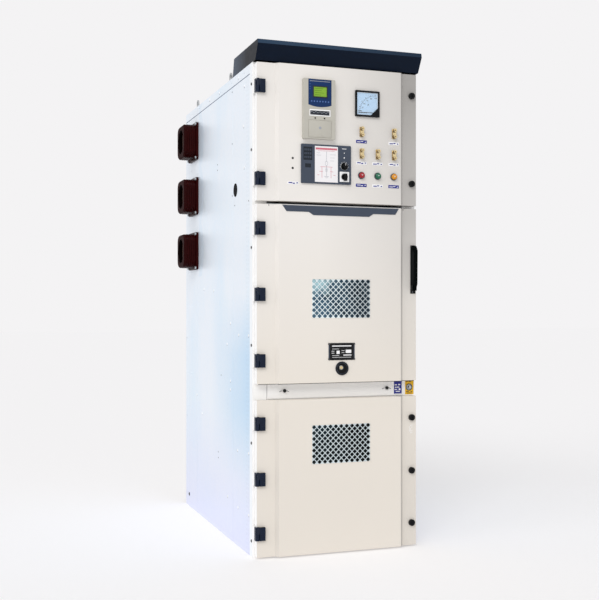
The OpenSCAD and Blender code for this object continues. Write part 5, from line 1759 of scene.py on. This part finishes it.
class CABINET_OT_low_voltage(bpy.types.Operator):
    """Adds slotted wiring ducts and terminal screws in the instrument box"""

    bl_idname = "cabinet.low_voltage"
    bl_label = "Low-voltage wiring"

    def execute(self, context):
        teeth = []
        for z in DUCT_LEVELS:
            teeth.append(start_block("back", (-DUCT_HALF, DUCT_Y - 0.006, z - 0.020),
                                     (DUCT_HALF, DUCT_Y - 0.001, z + 0.020)))
            comb = start_block("comb", (-DUCT_HALF, DUCT_Y - 0.045, z - 0.020),
                               (0.008 - DUCT_HALF, DUCT_Y - 0.006, z - 0.018))
            for i in range(44):
                for rise in (0.0, 0.038):
                    teeth.append(copy_to(comb, (i * DUCT_PITCH, 0.0, rise)))
            bpy.data.objects.remove(comb)
            lid = start_block("lid", (-DUCT_HALF, DUCT_Y - 0.048, z - 0.0205),
                              (DUCT_HALF, DUCT_Y - 0.045, z + 0.0205))
            teeth.append(soften(lid, 0.0006))
        finish(fuse("wiring_ducts", teeth), "relay_housing", "cabinet")
        screws = []
        head = start_round("head", (0.0, TERMINAL_Y, 0.0), 0.0038, 0.0024, "Y", 14)
        for z in TERMINAL_LEVELS:
            for i in range(24):
                for level in (-0.018, 0.018):
                    place = (-0.279 + TERMINAL_PITCH * i, 0.0, z + level)
                    screws.append(copy_to(head, place))
        bpy.data.objects.remove(head)
        finish(fuse("terminal_screws", screws), "plating", "cabinet")
        return {"FINISHED"}


class CABINET_OT_studio(bpy.types.Operator):
    """Adds the floor, the lights, the background and the camera"""

    bl_idname = "cabinet.studio"
    bl_label = "Studio"

    def execute(self, context):
        self.floor()
        self.lights()
        self.world(context.scene)
        self.camera(context.scene)
        context.scene.view_settings.view_transform = "Standard"
        return {"FINISHED"}

    def floor(self):
        """The floor of the picture, which is no part of the cabinet."""
        bpy.ops.object.select_all(action="DESELECT")
        bpy.ops.mesh.primitive_plane_add(size=90.0, location=(0.0, 0.0, -0.0005))
        floor = settle("floor")
        floor.data.materials.append(FINISH["floor"])

    def lights(self):
        """A main sun and a weaker one from the side, for the picture only."""
        for name, energy, turn, softness in (
                ("key", 0.97, (52.0, 0.0, -30.0), 30.0),
                ("side", 0.50, (62.0, 0.0, -68.0), 40.0)):
            bpy.ops.object.light_add(type="SUN", rotation=[math.radians(a) for a in turn])
            lamp = bpy.context.object
            lamp.name = name
            lamp.data.energy = energy
            lamp.data.angle = math.radians(softness)

    def world(self, scene):
        """White light from all round; what the camera and gloss see is the backdrop."""
        world = bpy.data.worlds.new("studio")
        scene.world = world
        world.use_nodes = True
        tree = world.node_tree
        lighting = tree.nodes["Background"]
        lighting.inputs["Color"].default_value = (1.0, 1.0, 1.0, 1.0)
        lighting.inputs["Strength"].default_value = 0.55
        seen = tree.nodes.new("ShaderNodeBackground")
        seen.inputs["Color"].default_value = (*scene.cabinet_colours.backdrop, 1.0)
        path = tree.nodes.new("ShaderNodeLightPath")
        either = tree.nodes.new("ShaderNodeMath")
        either.operation = "MAXIMUM"
        both = tree.nodes.new("ShaderNodeMath")
        both.operation = "MAXIMUM"
        mix = tree.nodes.new("ShaderNodeMixShader")
        tree.links.new(path.outputs["Is Camera Ray"], either.inputs[0])
        tree.links.new(path.outputs["Is Glossy Ray"], either.inputs[1])
        tree.links.new(either.outputs[0], both.inputs[0])
        tree.links.new(path.outputs["Is Transmission Ray"], both.inputs[1])
        tree.links.new(both.outputs[0], mix.inputs[0])
        tree.links.new(lighting.outputs[0], mix.inputs[1])
        tree.links.new(seen.outputs[0], mix.inputs[2])
        tree.links.new(mix.outputs[0], tree.nodes["World Output"].inputs["Surface"])

    def camera(self, scene):
        """The photograph's view: level, turned a little to the right."""
        bpy.ops.object.camera_add(
            location=CAMERA_PLACE,
            rotation=(math.radians(90.0), 0.0, math.radians(CAMERA_TURN)))
        camera = bpy.context.object
        camera.data.sensor_width = CAMERA_SENSOR
        camera.data.sensor_fit = "AUTO"
        camera.data.lens = CAMERA_LENS
        camera.data.shift_x, camera.data.shift_y = CAMERA_SHIFT
        scene.camera = camera


PIECES = (
    CABINET_OT_finishes,
    CABINET_OT_relay_front,
    CABINET_OT_meter_face,
    CABINET_OT_mimic_front,
    CABINET_OT_door_labels,
    CABINET_OT_pilot_lamps,
    CABINET_OT_link_hardware,
    CABINET_OT_windows,
    CABINET_OT_nameplate,
    CABINET_OT_locks,
    CABINET_OT_hinge_screws,
    CABINET_OT_crossbar_labels,
    CABINET_OT_door_seals,
    CABINET_OT_wall_fixings,
    CABINET_OT_mechanism_front,
    CABINET_OT_contact_springs,
    CABINET_OT_low_voltage,
    CABINET_OT_studio,
)


class CABINET_PT_pieces(bpy.types.Panel):
    """Lists the settings and the pieces"""

    bl_idname = "CABINET_PT_pieces"
    bl_label = "Switchgear cabinet"
    bl_space_type = "VIEW_3D"
    bl_region_type = "UI"
    bl_category = "Switchgear"

    def draw(self, context):
        """The settings, and a button for each piece."""
        layout = self.layout
        for group in (context.scene.cabinet_sizes, context.scene.cabinet_colours):
            box = layout.box()
            for key in group.bl_rna.properties.keys():
                if key not in {"rna_type", "name"}:
                    box.prop(group, key)
        for piece in PIECES:
            layout.operator(piece.bl_idname)


CLASSES = (CabinetSizes, CabinetColours, *PIECES, CABINET_PT_pieces)


def register():
    for item in CLASSES:
        bpy.utils.register_class(item)
    bpy.types.Scene.cabinet_sizes = PointerProperty(type=CabinetSizes)
    bpy.types.Scene.cabinet_colours = PointerProperty(type=CabinetColours)


def unregister():
    del bpy.types.Scene.cabinet_colours
    del bpy.types.Scene.cabinet_sizes
    for item in reversed(CLASSES):
        bpy.utils.unregister_class(item)


def main():
    register()
    for piece in PIECES:
        group, name = piece.bl_idname.split(".")
        getattr(getattr(bpy.ops, group), name)()


if __name__ == "__main__":
    main()
